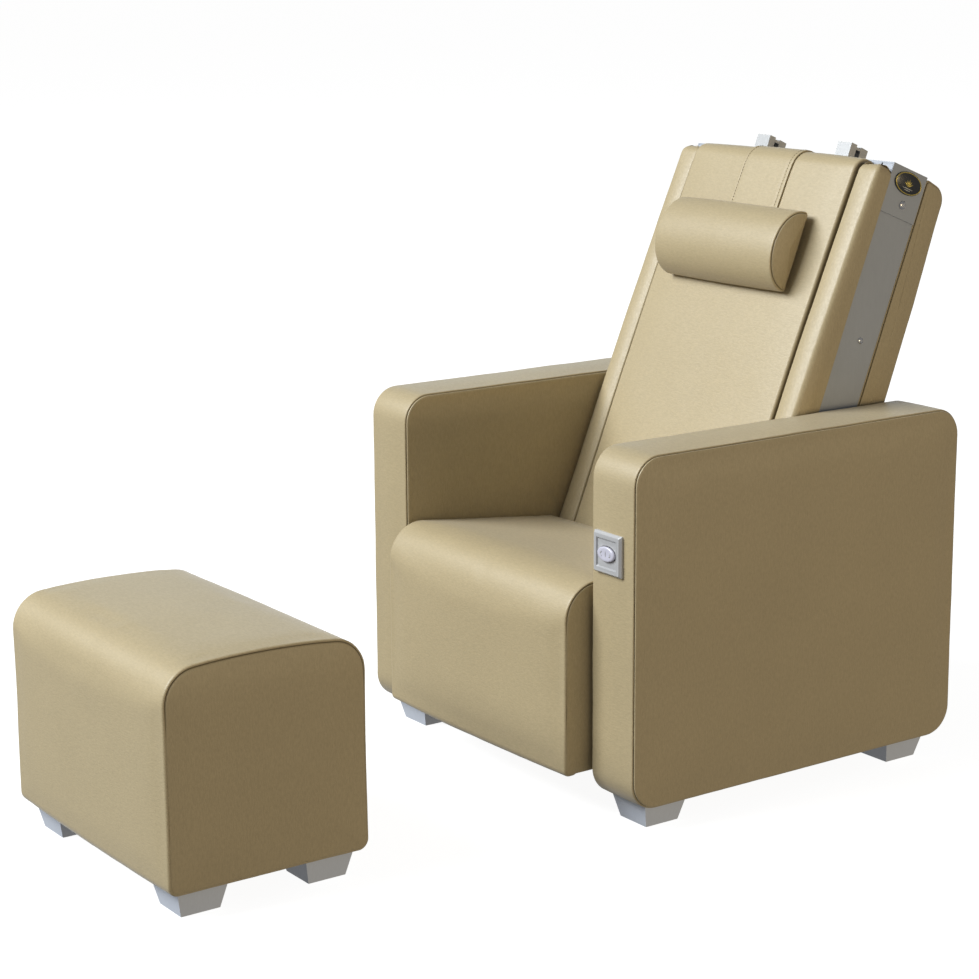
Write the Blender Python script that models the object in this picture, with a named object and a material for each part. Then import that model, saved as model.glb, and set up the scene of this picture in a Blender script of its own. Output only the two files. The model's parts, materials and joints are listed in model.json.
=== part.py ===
"""Pedicure spa chair with a matching ottoman, in metres, +Z up, front towards -Y.

The origin is on the floor, under the middle of the chair and the ottoman taken together.
Each moving body has an empty on its joint's axis, and its pieces are parented to that empty.
"""

import math

import bpy
import bmesh
from mathutils import Vector

# Gap kept between pieces that touch.
GAP = 0.0003

# Where the chair and the ottoman stand.
CHAIR_Y = -0.0039
OTTOMAN_PLACE = (0.005, -0.6179, 0.0)

# Arms: padded boxes with rounded corners, on either side of the seat.
WIDTH = 0.768
ARM_WIDTH = 0.107
ARM_DEPTH = 0.731
ARM_BOTTOM = 0.041
ARM_TOP = 0.640
ARM_CORNER = 0.050
ARM_WALL = 0.022
ARM_PANEL = 0.007

# Feet: tapered blocks, wider at the top.
FOOT_BOTTOM = 0.068
FOOT_TOP = 0.088
FOOT_HEIGHT = ARM_BOTTOM - GAP
CHAIR_FEET_Y = (0.083, 0.637)

# Axis of the recline switch's rocker, on the front of the left arm.
SWITCH_PLACE = (0.3270, -0.006, 0.4715)

# Seat box between the arms.
SEAT_HALF_WIDTH = 0.267
SEAT_PANEL = 0.007
SEAT_FRONT = -0.047
SEAT_BOTTOM = 0.078
SEAT_CORNER = 0.065
SEAT_TOP_AT_FRONT = 0.4182
SEAT_SLOPE = -0.1124
SEAT_PADDING = 0.080
APRON = 0.030
DECK = 0.015

# Base frame of square tube, under the seat and behind it.
TUBE = 0.030
CROSS_FRONT_Y = 0.100
CROSS_REAR_Y = 0.560
CROSS_Z = 0.045
RAIL_X = (0.205, 0.233)

# Backrest: the pivot and the lean, then distances across (T, rearwards) and up (S) the backrest.
PIVOT = (0.0, 0.420, 0.330)
LEAN = math.radians(21.5)
BACK_HALF_WIDTH = 0.2657
CHANNEL_T = (-0.030, 0.059)
CHANNEL_BOTTOM = -0.045
FRAME_TOP = 0.777
SHEET = 0.003
FLANGE = 0.025
CAP_BOTTOM = 0.689
CAP_SHEET = 0.0015

# Front cushions of the backrest.
BOLSTER_X = 0.2200
CUSHION_TOP = 0.765
CUSHION_FALL = 0.0190
OVERLAY_T = -0.0925
OVERLAY_PROUD = 0.0100
OVERLAY_HALF_WIDTH = 0.2170
OVERLAY_THICKNESS = 0.0185
OVERLAY_BOTTOM = 0.018
STRAP_HALF_WIDTH = 0.066
STRAP_THICKNESS = 0.003
STRAP_BOTTOM = 0.545
PILLOW_T = -0.0920
PILLOW_HALF_LENGTH = 0.162
PILLOW_S = 0.580
PILLOW_HEIGHT = 0.149
PILLOW_DEPTH = 0.061

# Guide rails of the massage carriage, with forked tops that stand above the frame.
GUIDE_X = 0.1095
GUIDE_WIDTH = 0.035
GUIDE_FRONT_T = -0.0114
GUIDE_FRONT_LEG = 0.015
GUIDE_SLOT = 0.011
GUIDE_REAR_LEG = 0.018
GUIDE_TOP = 0.810

# Massage carriage, its lead screw and its kneading shaft.
CARRIAGE_S = 0.410
CARRIAGE_HALF = 0.050
SCREW_X = 0.030
SCREW_T = 0.038
SCREW_RADIUS = 0.006
KNEAD_T = -0.0255
HEAD_RADIUS = 0.028
HEAD_OFFSET = 0.004

# Recline drive: an actuator under the seat pulls a lever on the lower end of the backrest.
LEVER_REACH = 0.100
RECLINE = math.radians(25.0)
ROD_RADIUS = 0.007
PIN_RADIUS = 0.005

# Ottoman.
OTTOMAN_HALF_WIDTH = 0.264
OTTOMAN_HALF_DEPTH = 0.178
OTTOMAN_BOTTOM = 0.044
OTTOMAN_TOP = 0.4035
OTTOMAN_WALL = 0.022
OTTOMAN_FEET = (0.206, 0.113)

# Colour, roughness and metallic value of each finish.
FINISHES = {
    "vinyl": ((0.50, 0.42, 0.28), 0.50, 0.0),
    "vinyl_side": ((0.42, 0.35, 0.23), 0.50, 0.0),
    "steel_grey": ((0.20, 0.20, 0.20), 0.40, 0.6),
    "frame_black": ((0.04, 0.04, 0.04), 0.50, 0.2),
    "foot_grey": ((0.28, 0.28, 0.28), 0.45, 0.3),
    "rail_light": ((0.62, 0.62, 0.63), 0.35, 0.7),
    "bright_steel": ((0.70, 0.70, 0.72), 0.22, 1.0),
    "plywood": ((0.60, 0.45, 0.28), 0.70, 0.0),
    "plate_grey": ((0.50, 0.50, 0.51), 0.40, 0.0),
    "rocker_white": ((0.62, 0.62, 0.66), 0.35, 0.0),
    "black_plastic": ((0.03, 0.03, 0.03), 0.45, 0.0),
    "badge_black": ((0.02, 0.02, 0.02), 0.25, 0.0),
}


# ---------------------------------------------------------------- outlines

def circle(centre, radius, steps=24):
    """Points of a circle in a plane."""
    return [(centre[0] + radius * math.cos(math.tau * i / steps),
             centre[1] + radius * math.sin(math.tau * i / steps)) for i in range(steps)]


def ellipse(half_width, half_height, steps=28):
    """Points of an ellipse about the plane's origin."""
    return [(half_width * math.cos(math.tau * i / steps),
             half_height * math.sin(math.tau * i / steps)) for i in range(steps)]


def rounded(corners, radii, steps=6):
    """A polygon whose corners are replaced by arcs of the given radii."""
    points = []
    for i, (corner, radius) in enumerate(zip(corners, radii)):
        here = Vector(corner)
        if radius == 0:
            points.append(tuple(here))
            continue
        back = (Vector(corners[i - 1]) - here).normalized()
        ahead = (Vector(corners[(i + 1) % len(corners)]) - here).normalized()
        half = back.angle(ahead) / 2
        centre = here + (back + ahead).normalized() * (radius / math.sin(half))
        first = here + back * (radius / math.tan(half)) - centre
        last = here + ahead * (radius / math.tan(half)) - centre
        start = math.atan2(first.y, first.x)
        sweep = math.atan2(last.y, last.x) - start
        sweep = (sweep + math.pi) % math.tau - math.pi
        for k in range(steps + 1):
            turn = start + sweep * k / steps
            points.append((centre.x + radius * math.cos(turn), centre.y + radius * math.sin(turn)))
    return points


def rectangle(low, high):
    """Corners of a rectangle, from its lowest and highest corner."""
    return [(low[0], low[1]), (high[0], low[1]), (high[0], high[1]), (low[0], high[1])]


def in_space(point, axis, depth):
    """A plane's point, put at a depth along the axis that the plane faces."""
    if axis == "X":
        return (depth, point[0], point[1])
    if axis == "Y":
        return (point[0], depth, point[1])
    return (point[0], point[1], depth)


# ---------------------------------------------------------------- solids

def finish_object(name, shape, finish, parent, smooth=False):
    """Turns a finished shape into a named object with its material, under its body's empty."""
    bmesh.ops.recalc_face_normals(shape, faces=shape.faces)
    mesh = bpy.data.meshes.new(name)
    shape.to_mesh(mesh)
    shape.free()
    if smooth:
        mesh.shade_smooth()
        mesh.set_sharp_from_angle(angle=math.radians(40))
    mesh.materials.append(materials[finish])
    piece = bpy.data.objects.new(name, mesh)
    piece.parent = parent
    bpy.context.collection.objects.link(piece)
    return piece


def prism(name, outlines, axis, low, high, finish, parent, smooth=False):
    """Extrudes the first outline along an axis, with the other outlines as holes through it."""
    shape = bmesh.new()
    edges = []
    for outline in outlines:
        ring = [shape.verts.new(in_space(point, axis, low)) for point in outline]
        edges += [shape.edges.new((ring[i - 1], ring[i])) for i in range(len(ring))]
    bmesh.ops.triangle_fill(shape, use_beauty=True, edges=edges)
    grown = bmesh.ops.extrude_face_region(shape, geom=shape.faces[:])
    moved = [item for item in grown["geom"] if isinstance(item, bmesh.types.BMVert)]
    bmesh.ops.translate(shape, verts=moved, vec=Vector(in_space((0, 0), axis, high - low)))
    return finish_object(name, shape, finish, parent, smooth)


def skin(name, loops, finish, parent, smooth=False):
    """Joins closed loops of points, one after another, and caps both ends."""
    shape = bmesh.new()
    rings = [[shape.verts.new(point) for point in loop] for loop in loops]
    for lower, upper in zip(rings, rings[1:]):
        for i in range(len(lower)):
            shape.faces.new((lower[i - 1], lower[i], upper[i], upper[i - 1]))
    shape.faces.new(rings[0])
    shape.faces.new(rings[-1])
    return finish_object(name, shape, finish, parent, smooth)


def box(name, low, high, finish, parent):
    """A plain block from its lowest to its highest corner."""
    outline = rectangle((low[0], low[1]), (high[0], high[1]))
    return prism(name, [outline], "Z", low[2], high[2], finish, parent)


def tube(name, axis, low, high, finish, parent):
    """A square tube, open at both ends, along X or Y."""
    wall = 0.002
    across = (1, 2) if axis == "X" else (0, 2)
    outer_low = [low[i] for i in across]
    outer_high = [high[i] for i in across]
    inner_low = [value + wall for value in outer_low]
    inner_high = [value - wall for value in outer_high]
    outlines = [rectangle(outer_low, outer_high), rectangle(inner_low, inner_high)]
    along = 0 if axis == "X" else 1
    return prism(name, outlines, axis, low[along], high[along], finish, parent)


def rod(name, axis, centre, radius, low, high, finish, parent, steps=24):
    """A round bar along an axis."""
    return prism(name, [circle(centre, radius, steps)], axis, low, high, finish, parent, True)


def combine(target, other, operation):
    """Adds or cuts one solid with another, which then stays out of the model."""
    other.hide_render = True
    other.display_type = 'WIRE'
    modifier = target.modifiers.new(operation.lower(), 'BOOLEAN')
    modifier.operation = operation
    modifier.solver = 'EXACT'
    modifier.object = other


def dome_bolt(name, side, across, up, radius, start, parent):
    """A round-headed bolt, on a face that looks along X."""
    height = radius * 0.45
    loops = []
    for share in (0.0, 0.3, 0.6, 0.85):
        reach = radius * math.sqrt(1 - share * share)
        depth = side * (start + height * share)
        loops.append([(depth, point[0], point[1]) for point in circle((across, up), reach, 20)])
    return skin(name, loops, "bright_steel", parent, True)


def empty(name, place, parent=None, lean=0.0):
    """The origin of one moving body."""
    origin = bpy.data.objects.new(name, None)
    origin.location = place
    origin.rotation_euler = (-lean, 0.0, 0.0)
    origin.parent = parent
    bpy.context.collection.objects.link(origin)
    return origin


def foot(name, place, top, parent):
    """A tapered foot, standing on the floor."""
    loops = []
    for half, height in ((FOOT_BOTTOM / 2, 0.0), (FOOT_TOP / 2, top)):
        corners = rectangle((-half, -half), (half, half))
        loops.append([(place[0] + x, place[1] + y, height) for x, y in corners])
    return skin(name, loops, "foot_grey", parent)


# ---------------------------------------------------------------- chair base

def arm(side, sign, parent):
    """One arm: an upholstered band around a hollow box, closed by an outer and an inner panel."""
    outer = WIDTH / 2
    inner = outer - ARM_WIDTH
    corners = rectangle((0.0, ARM_BOTTOM), (ARM_DEPTH, ARM_TOP))
    outline = rounded(corners, [ARM_CORNER] * 4)
    inset = rectangle((ARM_WALL, ARM_BOTTOM + ARM_WALL), (ARM_DEPTH - ARM_WALL, ARM_TOP - ARM_WALL))
    hole = rounded(inset, [ARM_CORNER - ARM_WALL] * 4, 3)
    spans = {
        "band": (inner + ARM_PANEL + GAP, outer - ARM_PANEL - GAP, [outline, hole]),
        "outer_panel": (outer - ARM_PANEL, outer, [outline]),
        "inner_panel": (inner, inner + ARM_PANEL, [outline]),
    }
    for piece, (near, far, outlines) in spans.items():
        low, high = sorted((sign * near, sign * far))
        finish = "vinyl_side" if piece.endswith("panel") else "vinyl"
        prism(f"arm_{side}_{piece}", outlines, "X", low, high, finish, parent)
    for end, across in zip(("front", "rear"), CHAIR_FEET_Y):
        place = (sign * (inner + ARM_WIDTH / 2), across)
        foot(f"foot_{side}_{end}", place, FOOT_HEIGHT, parent)


def seat_top(across):
    """Height of the seat's top surface at a distance behind the arms' front."""
    return SEAT_TOP_AT_FRONT + SEAT_SLOPE * (across - SEAT_FRONT)


def behind_seat(up):
    """A point up the backrest, just in front of its cushions, in the chair's own Y and Z."""
    across = OVERLAY_T - 0.001
    return (PIVOT[1] + up * math.sin(LEAN) + across * math.cos(LEAN),
            PIVOT[2] + up * math.cos(LEAN) - across * math.sin(LEAN))


def seat(parent):
    """The seat box: a cushion that runs over the front edge, a deck under it and two side panels."""
    foot_of_back = behind_seat(0.0)
    rise = seat_top(foot_of_back[0]) - foot_of_back[1]
    up = rise / (math.cos(LEAN) - SEAT_SLOPE * math.sin(LEAN))
    top_rear = behind_seat(up)
    low_rear = behind_seat(up - SEAT_PADDING)
    apron_back = SEAT_FRONT + APRON
    under_front = low_rear[1] + SEAT_SLOPE * (apron_back - low_rear[0])
    corners = [(SEAT_FRONT, SEAT_BOTTOM), (SEAT_FRONT, SEAT_TOP_AT_FRONT), top_rear, low_rear,
               (apron_back, under_front), (apron_back, SEAT_BOTTOM)]
    outline = rounded(corners, [0.004, SEAT_CORNER, 0.006, 0.0, 0.0, 0.0], 8)
    half = SEAT_HALF_WIDTH - SEAT_PANEL - GAP
    prism("seat_cushion", [outline], "X", -half, half, "vinyl", parent)
    panel_corners = [(SEAT_FRONT, SEAT_BOTTOM), (SEAT_FRONT, SEAT_TOP_AT_FRONT), top_rear,
                     (low_rear[0], SEAT_BOTTOM)]
    panel = rounded(panel_corners, [0.004, SEAT_CORNER, 0.006, 0.004], 8)
    for side, sign in (("left", 1), ("right", -1)):
        low, high = sorted((sign * (half + GAP), sign * SEAT_HALF_WIDTH))
        prism(f"seat_panel_{side}", [panel], "X", low, high, "vinyl_side", parent)
    front = apron_back + GAP
    top_front = under_front - GAP * 2
    top_back = low_rear[1] - GAP * 2
    deck = [(front, top_front), (low_rear[0], top_back), (low_rear[0], top_back - DECK),
            (front, top_front - DECK)]
    prism("seat_deck", [deck], "X", -half, half, "plywood", parent)


def base_frame(parent):
    """Cross tubes between the arms, two rails on them and the brackets of the backrest's hinge."""
    reach = WIDTH / 2 - ARM_WIDTH - GAP
    rail_bottom = CROSS_Z + TUBE + GAP
    tubes = []
    for end, across in (("front", CROSS_FRONT_Y), ("rear", CROSS_REAR_Y)):
        low = (-reach, across, CROSS_Z)
        high = (reach, across + 0.040, CROSS_Z + TUBE)
        tubes.append(tube(f"frame_cross_{end}", "X", low, high, "frame_black", parent))
    rail_top = rail_bottom + TUBE
    for side, sign in (("left", 1), ("right", -1)):
        near, far = sorted((sign * RAIL_X[0], sign * RAIL_X[1]))
        low = (near, CROSS_FRONT_Y, rail_bottom)
        high = (far, CROSS_REAR_Y + 0.040, rail_top)
        tube(f"frame_rail_{side}", "Y", low, high, "frame_black", parent)
        hinge_bracket(side, sign, rail_top + GAP, parent)
    return tubes[0]


def hinge_bracket(side, sign, bottom, parent):
    """A plate on a rail, with the stub shaft that the backrest turns on."""
    plate = (0.2245, 0.2305)
    ear = 0.022
    _, across, up = PIVOT
    top = [(across + ear * math.cos(math.pi * k / 10), up + ear * math.sin(math.pi * k / 10))
           for k in range(11)]
    outline = [(across - 0.045, bottom), (across + 0.045, bottom)] + top
    low, high = sorted((sign * plate[0], sign * plate[1]))
    bracket = prism(f"hinge_bracket_{side}", [outline], "X", low, high, "frame_black", parent)
    low, high = sorted((sign * (plate[0] + 0.001), sign * (BACK_HALF_WIDTH - CAP_SHEET - GAP)))
    shaft = rod(f"hinge_shaft_{side}", "X", (across, up), 0.008, low, high, "bright_steel", parent)
    combine(bracket, shaft, 'UNION')


def lever_pin_place():
    """Where the lever's pin stands at rest, in the chair's own Y and Z."""
    swing = RECLINE / 2
    return (PIVOT[1] + LEVER_REACH * math.sin(swing), PIVOT[2] - LEVER_REACH * math.cos(swing))


def actuator(chair, rod_origin, front_tube):
    """The linear actuator of the recline: its body and post on the frame, and its moving rod."""
    across, up = lever_pin_place()
    up -= LEVER_REACH * (1 - math.cos(RECLINE / 2)) / 2
    mouth = 0.350
    tail = 0.105
    housing = [rectangle((-0.024, up - 0.024), (0.024, up + 0.024)), circle((0.0, up), 0.0085)]
    body = prism("actuator_body", housing, "Y", tail + 0.030, mouth, "black_plastic", chair)
    gearbox = box("actuator_gearbox", (-0.030, tail, up - 0.055), (0.030, tail + 0.031, up + 0.028),
                  "black_plastic", chair)
    combine(body, gearbox, 'UNION')
    post = box("actuator_post", (-0.015, CROSS_FRONT_Y + 0.008, CROSS_Z + TUBE - 0.001),
               (0.015, CROSS_FRONT_Y + 0.032, up - 0.055 - GAP), "frame_black", chair)
    combine(front_tube, post, 'UNION')
    eye = 0.015
    slot = PIN_RADIUS + 0.0006
    travel = LEVER_REACH * (1 - math.cos(RECLINE / 2)) / 2 + 0.001
    hole = [(slot * math.cos(math.pi * k / 8), travel + slot * math.sin(math.pi * k / 8)) for k in range(9)]
    hole += [(-x, -z) for x, z in hole]
    face = rounded(rectangle((-eye, -eye), (eye, eye)), [0.004] * 4, 3)
    bar = prism("actuator_rod", [face, hole], "X", -0.0095, 0.0095, "bright_steel", rod_origin)
    start = mouth - 0.150 - across
    shank = rod("actuator_shank", "Y", (0.0, 0.0), ROD_RADIUS, start, -eye + 0.001, "bright_steel",
                rod_origin)
    combine(bar, shank, 'UNION')


def switch(parent, rocker_origin):
    """The recline switch on the front of the left arm: a bevelled plate and a rocker in it."""
    half_width, half_height = 0.0360, 0.0350
    steps = ((0.0, 0.0, GAP), (0.0, 0.0, 0.005), (0.0035, 0.0035, 0.009), (0.0095, 0.0100, 0.009),
             (0.0115, 0.0120, 0.0065))
    centre = rocker_origin.location
    loops = []
    for inset_x, inset_z, height in steps:
        corners = rectangle((inset_x - half_width, inset_z - half_height),
                            (half_width - inset_x, half_height - inset_z))
        outline = rounded(corners, [0.002] * 4, 2)
        loops.append([(centre.x + x, -height, centre.z + z) for x, z in outline])
    plate = skin("switch_plate", loops, "plate_grey", parent)
    opening = [(centre.x + x, centre.z + z) for x, z in ellipse(0.0232, 0.0135)]
    cutter = prism("switch_opening", [opening], "Y", -0.012, 0.001, "plate_grey", parent)
    combine(plate, cutter, 'DIFFERENCE')
    loops = []
    for share, height in ((1.0, 0.0030), (1.0, -0.0030), (0.93, -0.0045), (0.75, -0.0055)):
        outline = ellipse(0.0222 * share, 0.0125 * share)
        loops.append([(x, height, z) for x, z in outline])
    skin("switch_rocker", loops, "rocker_white", rocker_origin, True)


def power_inlet(parent):
    """The mains inlet socket on the rear cross tube, with its open recess to the rear."""
    top = CROSS_Z + TUBE + GAP
    rear = CROSS_REAR_Y + 0.040
    inlet = box("power_inlet", (0.110, rear - 0.036, top), (0.170, rear, top + 0.034),
                "black_plastic", parent)
    recess = box("inlet_recess", (0.118, rear - 0.020, top + 0.007), (0.162, rear + 0.002, top + 0.027),
                 "black_plastic", parent)
    combine(inlet, recess, 'DIFFERENCE')


# ---------------------------------------------------------------- backrest

def side_channel(side, sign, parent):
    """A steel channel, open inwards, with a hole for the hinge's shaft."""
    web = BACK_HALF_WIDTH - CAP_SHEET - GAP
    front, rear = CHANNEL_T
    outline = [(web, front), (web, rear), (web - FLANGE, rear), (web - FLANGE, rear - SHEET),
               (web - SHEET, rear - SHEET), (web - SHEET, front + SHEET), (web - FLANGE, front + SHEET),
               (web - FLANGE, front)]
    outline = [(sign * x, t) for x, t in outline]
    top = FRAME_TOP - SHEET - GAP
    channel = prism(f"side_channel_{side}", [outline], "Z", CHANNEL_BOTTOM, top, "steel_grey", parent)
    low, high = sorted((sign * (web - 0.010), sign * (web + 0.010)))
    hole = rod(f"channel_hole_{side}", "X", (0.0, 0.0), 0.0085, low, high, "steel_grey", parent)
    combine(channel, hole, 'DIFFERENCE')


def top_cap(parent):
    """A folded sheet cap over the top of both channels, with slots for the guide rails."""
    front, rear = CHANNEL_T
    half = BACK_HALF_WIDTH
    inner = half - CAP_SHEET
    profile = [(half, CAP_BOTTOM), (half, FRAME_TOP), (-half, FRAME_TOP), (-half, CAP_BOTTOM),
               (-inner, CAP_BOTTOM), (-inner, FRAME_TOP - SHEET), (inner, FRAME_TOP - SHEET),
               (inner, CAP_BOTTOM)]
    cap = prism("top_cap", [profile], "Y", front, rear, "steel_grey", parent)
    web = inner - FLANGE - 0.004
    lip = box("cap_front_lip", (-web, front, 0.735), (web, front + SHEET, FRAME_TOP - 0.001),
              "steel_grey", parent)
    combine(cap, lip, 'UNION')
    for side, sign in (("left", 1), ("right", -1)):
        low = (sign * GUIDE_X - GUIDE_WIDTH / 2 - 0.001, GUIDE_FRONT_T - 0.001, 0.76)
        high = (sign * GUIDE_X + GUIDE_WIDTH / 2 + 0.001, guide_rear() + 0.001, 0.79)
        slot = box(f"cap_slot_{side}", low, high, "steel_grey", parent)
        combine(cap, slot, 'DIFFERENCE')


def guide_rear():
    """Rear face of the guide rails."""
    return GUIDE_FRONT_T + GUIDE_FRONT_LEG + GUIDE_SLOT + GUIDE_REAR_LEG


def guide_rail(side, sign, parent):
    """A rail with two legs and a slot between them, joined by a low link at each end."""
    front = GUIDE_FRONT_T
    slot_front = front + GUIDE_FRONT_LEG
    slot_rear = slot_front + GUIDE_SLOT
    rear = guide_rear()
    outline = [(front, 0.020), (rear, 0.020), (rear, GUIDE_TOP - 0.002), (slot_rear, GUIDE_TOP - 0.001),
               (slot_rear, GUIDE_TOP - 0.004), (slot_front, GUIDE_TOP - 0.004), (slot_front, GUIDE_TOP),
               (front, GUIDE_TOP)]
    slot = rectangle((slot_front, 0.110), (slot_rear, GUIDE_TOP - 0.009))
    low = sign * GUIDE_X - GUIDE_WIDTH / 2
    prism(f"guide_rail_{side}", [outline, slot], "X", low, low + GUIDE_WIDTH, "rail_light", parent)


def back_frame(parent):
    """Channels, cap, rails, the two flat bars behind the rails, bolts and the badge."""
    top_cap(parent)
    bar_front = guide_rear() + GAP
    reach = BACK_HALF_WIDTH - CAP_SHEET - SHEET - GAP * 2
    for name, low, high in (("back_bar_top", 0.685, 0.725), ("back_bar_low", 0.030, 0.070)):
        box(name, (-reach, bar_front, low), (reach, bar_front + 0.006, high), "steel_grey", parent)
    for side, sign in (("left", 1), ("right", -1)):
        side_channel(side, sign, parent)
        guide_rail(side, sign, parent)
        dome_bolt(f"cap_bolt_{side}", sign, 0.019, 0.713, 0.008, BACK_HALF_WIDTH + GAP, parent)
        dome_bolt(f"channel_bolt_{side}", sign, 0.0196, 0.4625, 0.006, BACK_HALF_WIDTH - CAP_SHEET, parent)
    badge(parent)


def badge(parent):
    """A plain oval badge with a raised rim, on the left side of the cap."""
    start = BACK_HALF_WIDTH + GAP
    loops = []
    for half_width, half_height, height in ((0.034, 0.020, 0.0), (0.034, 0.020, 0.0025),
                                            (0.0315, 0.0175, 0.0025), (0.031, 0.017, 0.0015)):
        outline = ellipse(half_width, half_height)
        loops.append([(start + height, 0.0160 + t, 0.7520 + s) for t, s in outline])
    skin("badge", loops, "badge_black", parent, True)


def overlay_face(up):
    """Distance across the backrest to the overlay's face, which falls back towards the top."""
    return OVERLAY_T + CUSHION_FALL * (up / CUSHION_TOP) ** 2


def back_cushions(parent):
    """Side bolsters, centre pads, the removable overlay, the strap and the rear cushion."""
    back_t = CHANNEL_T[0] - GAP
    heights = [CUSHION_TOP * share for share in (0.25, 0.50, 0.72, 0.90)]
    face = [(overlay_face(up) + OVERLAY_PROUD, up) for up in [0.005] + heights + [CUSHION_TOP]]
    bolster = rounded([(back_t, 0.005)] + face + [(back_t, CUSHION_TOP)],
                      [0.0, 0.010, 0.0, 0.0, 0.0, 0.0, 0.022, 0.0])
    for side, sign in (("left", 1), ("right", -1)):
        low, high = sorted((sign * BOLSTER_X, sign * BACK_HALF_WIDTH))
        prism(f"back_bolster_{side}", [bolster], "X", low, high, "vinyl", parent)
    half = BOLSTER_X - GAP
    behind = OVERLAY_THICKNESS + GAP
    pad_top = CUSHION_TOP - 0.008
    top_pad = rounded([(back_t, 0.700), (overlay_face(0.700) + behind, 0.700),
                       (overlay_face(pad_top) + behind, pad_top), (back_t, pad_top)],
                      [0.0, 0.0, 0.018, 0.0])
    prism("back_pad_top", [top_pad], "X", -half, half, "vinyl", parent)
    low_back = GUIDE_FRONT_T - GAP
    low_pad = rectangle((overlay_face(0.130) + behind, 0.005), (low_back, 0.130))
    prism("back_pad_low", [low_pad], "X", -half + 0.020, half - 0.020, "vinyl", parent)
    under = pad_top + GAP
    over = under + OVERLAY_THICKNESS
    front_face = [(overlay_face(up), up) for up in [OVERLAY_BOTTOM] + heights + [over]]
    rear_face = [(overlay_face(up) + OVERLAY_THICKNESS, up) for up in [under] + heights[::-1]]
    overlay = rounded(front_face + [(back_t, over), (back_t, under)] + rear_face
                      + [(overlay_face(OVERLAY_BOTTOM) + OVERLAY_THICKNESS, OVERLAY_BOTTOM)],
                      [0.004, 0.0, 0.0, 0.0, 0.0, 0.030, 0.0, 0.0, 0.0115, 0.0, 0.0, 0.0, 0.0, 0.0])
    prism("overlay_pad", [overlay], "X", -OVERLAY_HALF_WIDTH, OVERLAY_HALF_WIDTH, "vinyl", parent)
    strap(over, parent)
    rear_t = CHANNEL_T[1] + GAP
    rear = rounded([(rear_t, 0.100), (rear_t, FRAME_TOP), (0.112, 0.765), (0.119, 0.100)],
                   [0.0, 0.004, 0.022, 0.025])
    prism("back_rear_cushion", [rear], "X", -BACK_HALF_WIDTH, BACK_HALF_WIDTH, "vinyl", parent)


def strap(top, parent):
    """The pillow's strap: down the overlay's face and over its top edge."""
    heights = (STRAP_BOTTOM, 0.620, 0.690)
    inside = [(overlay_face(up) - GAP, up) for up in heights]
    outside = [(t - STRAP_THICKNESS, up) for t, up in inside]
    over = top + GAP
    corner = overlay_face(top) - GAP
    end = CHANNEL_T[0] - 0.001
    outline = rounded(outside + [(corner - STRAP_THICKNESS, over + STRAP_THICKNESS),
                                 (end, over + STRAP_THICKNESS), (end, over), (corner, over)]
                      + inside[::-1], [0.0, 0.0, 0.0, 0.0333, 0.0, 0.0, 0.0303, 0.0, 0.0, 0.0])
    prism("pillow_strap", [outline], "X", -STRAP_HALF_WIDTH, STRAP_HALF_WIDTH, "vinyl", parent)


def pillow(origin):
    """The head pillow: a long D-shaped bolster whose flat back lies on the strap."""
    half = PILLOW_HEIGHT / 2
    outline = [(-PILLOW_DEPTH * math.sin(math.pi * k / 16), half * math.cos(math.pi * k / 16))
               for k in range(17)]
    prism("head_pillow", [outline], "X", -PILLOW_HALF_LENGTH, PILLOW_HALF_LENGTH, "vinyl", origin)


def lever(parent):
    """The clevis lever on the backrest's lower bar, with the pin that the actuator's rod pulls."""
    bar_rear = guide_rear() + GAP + 0.006 + GAP
    pin_y, pin_z = lever_pin_place()
    across = pin_y - PIVOT[1]
    down = pin_z - PIVOT[2]
    pin_t = across * math.cos(LEAN) - down * math.sin(LEAN)
    pin_s = across * math.sin(LEAN) + down * math.cos(LEAN)
    radius = 0.011
    low = [(pin_t + radius * math.cos(a), pin_s + radius * math.sin(a))
           for a in [math.pi + math.pi * k / 8 for k in range(9)]]
    outline = [(bar_rear, 0.070), (bar_rear, 0.0)] + low + [(bar_rear + 0.022, 0.070)]
    plates = []
    for side, sign in (("left", 1), ("right", -1)):
        near, far = sorted((sign * 0.0102, sign * 0.0160))
        name = "recline_lever" if sign > 0 else "lever_plate"
        plates.append(prism(name, [outline], "X", near, far, "bright_steel", parent))
    bridge = box("lever_bridge", (-0.0155, bar_rear, 0.031), (0.0155, bar_rear + 0.005, 0.069),
                 "bright_steel", parent)
    pin = rod("lever_pin", "X", (pin_t, pin_s), PIN_RADIUS, -0.015, 0.015, "bright_steel", parent, 16)
    for extra in (plates[1], bridge, pin):
        combine(plates[0], extra, 'UNION')


def lift_drive(parent, screw_origin):
    """The gearmotor that lifts the massage carriage, and the lead screw that it turns."""
    box("lift_motor", (SCREW_X - 0.032, 0.002, 0.0735), (SCREW_X + 0.032, 0.056, 0.1280),
        "black_plastic", parent)
    rod("lift_screw", "Z", (0.0, 0.0), SCREW_RADIUS, -0.2815, 0.2720, "bright_steel", screw_origin)


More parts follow.
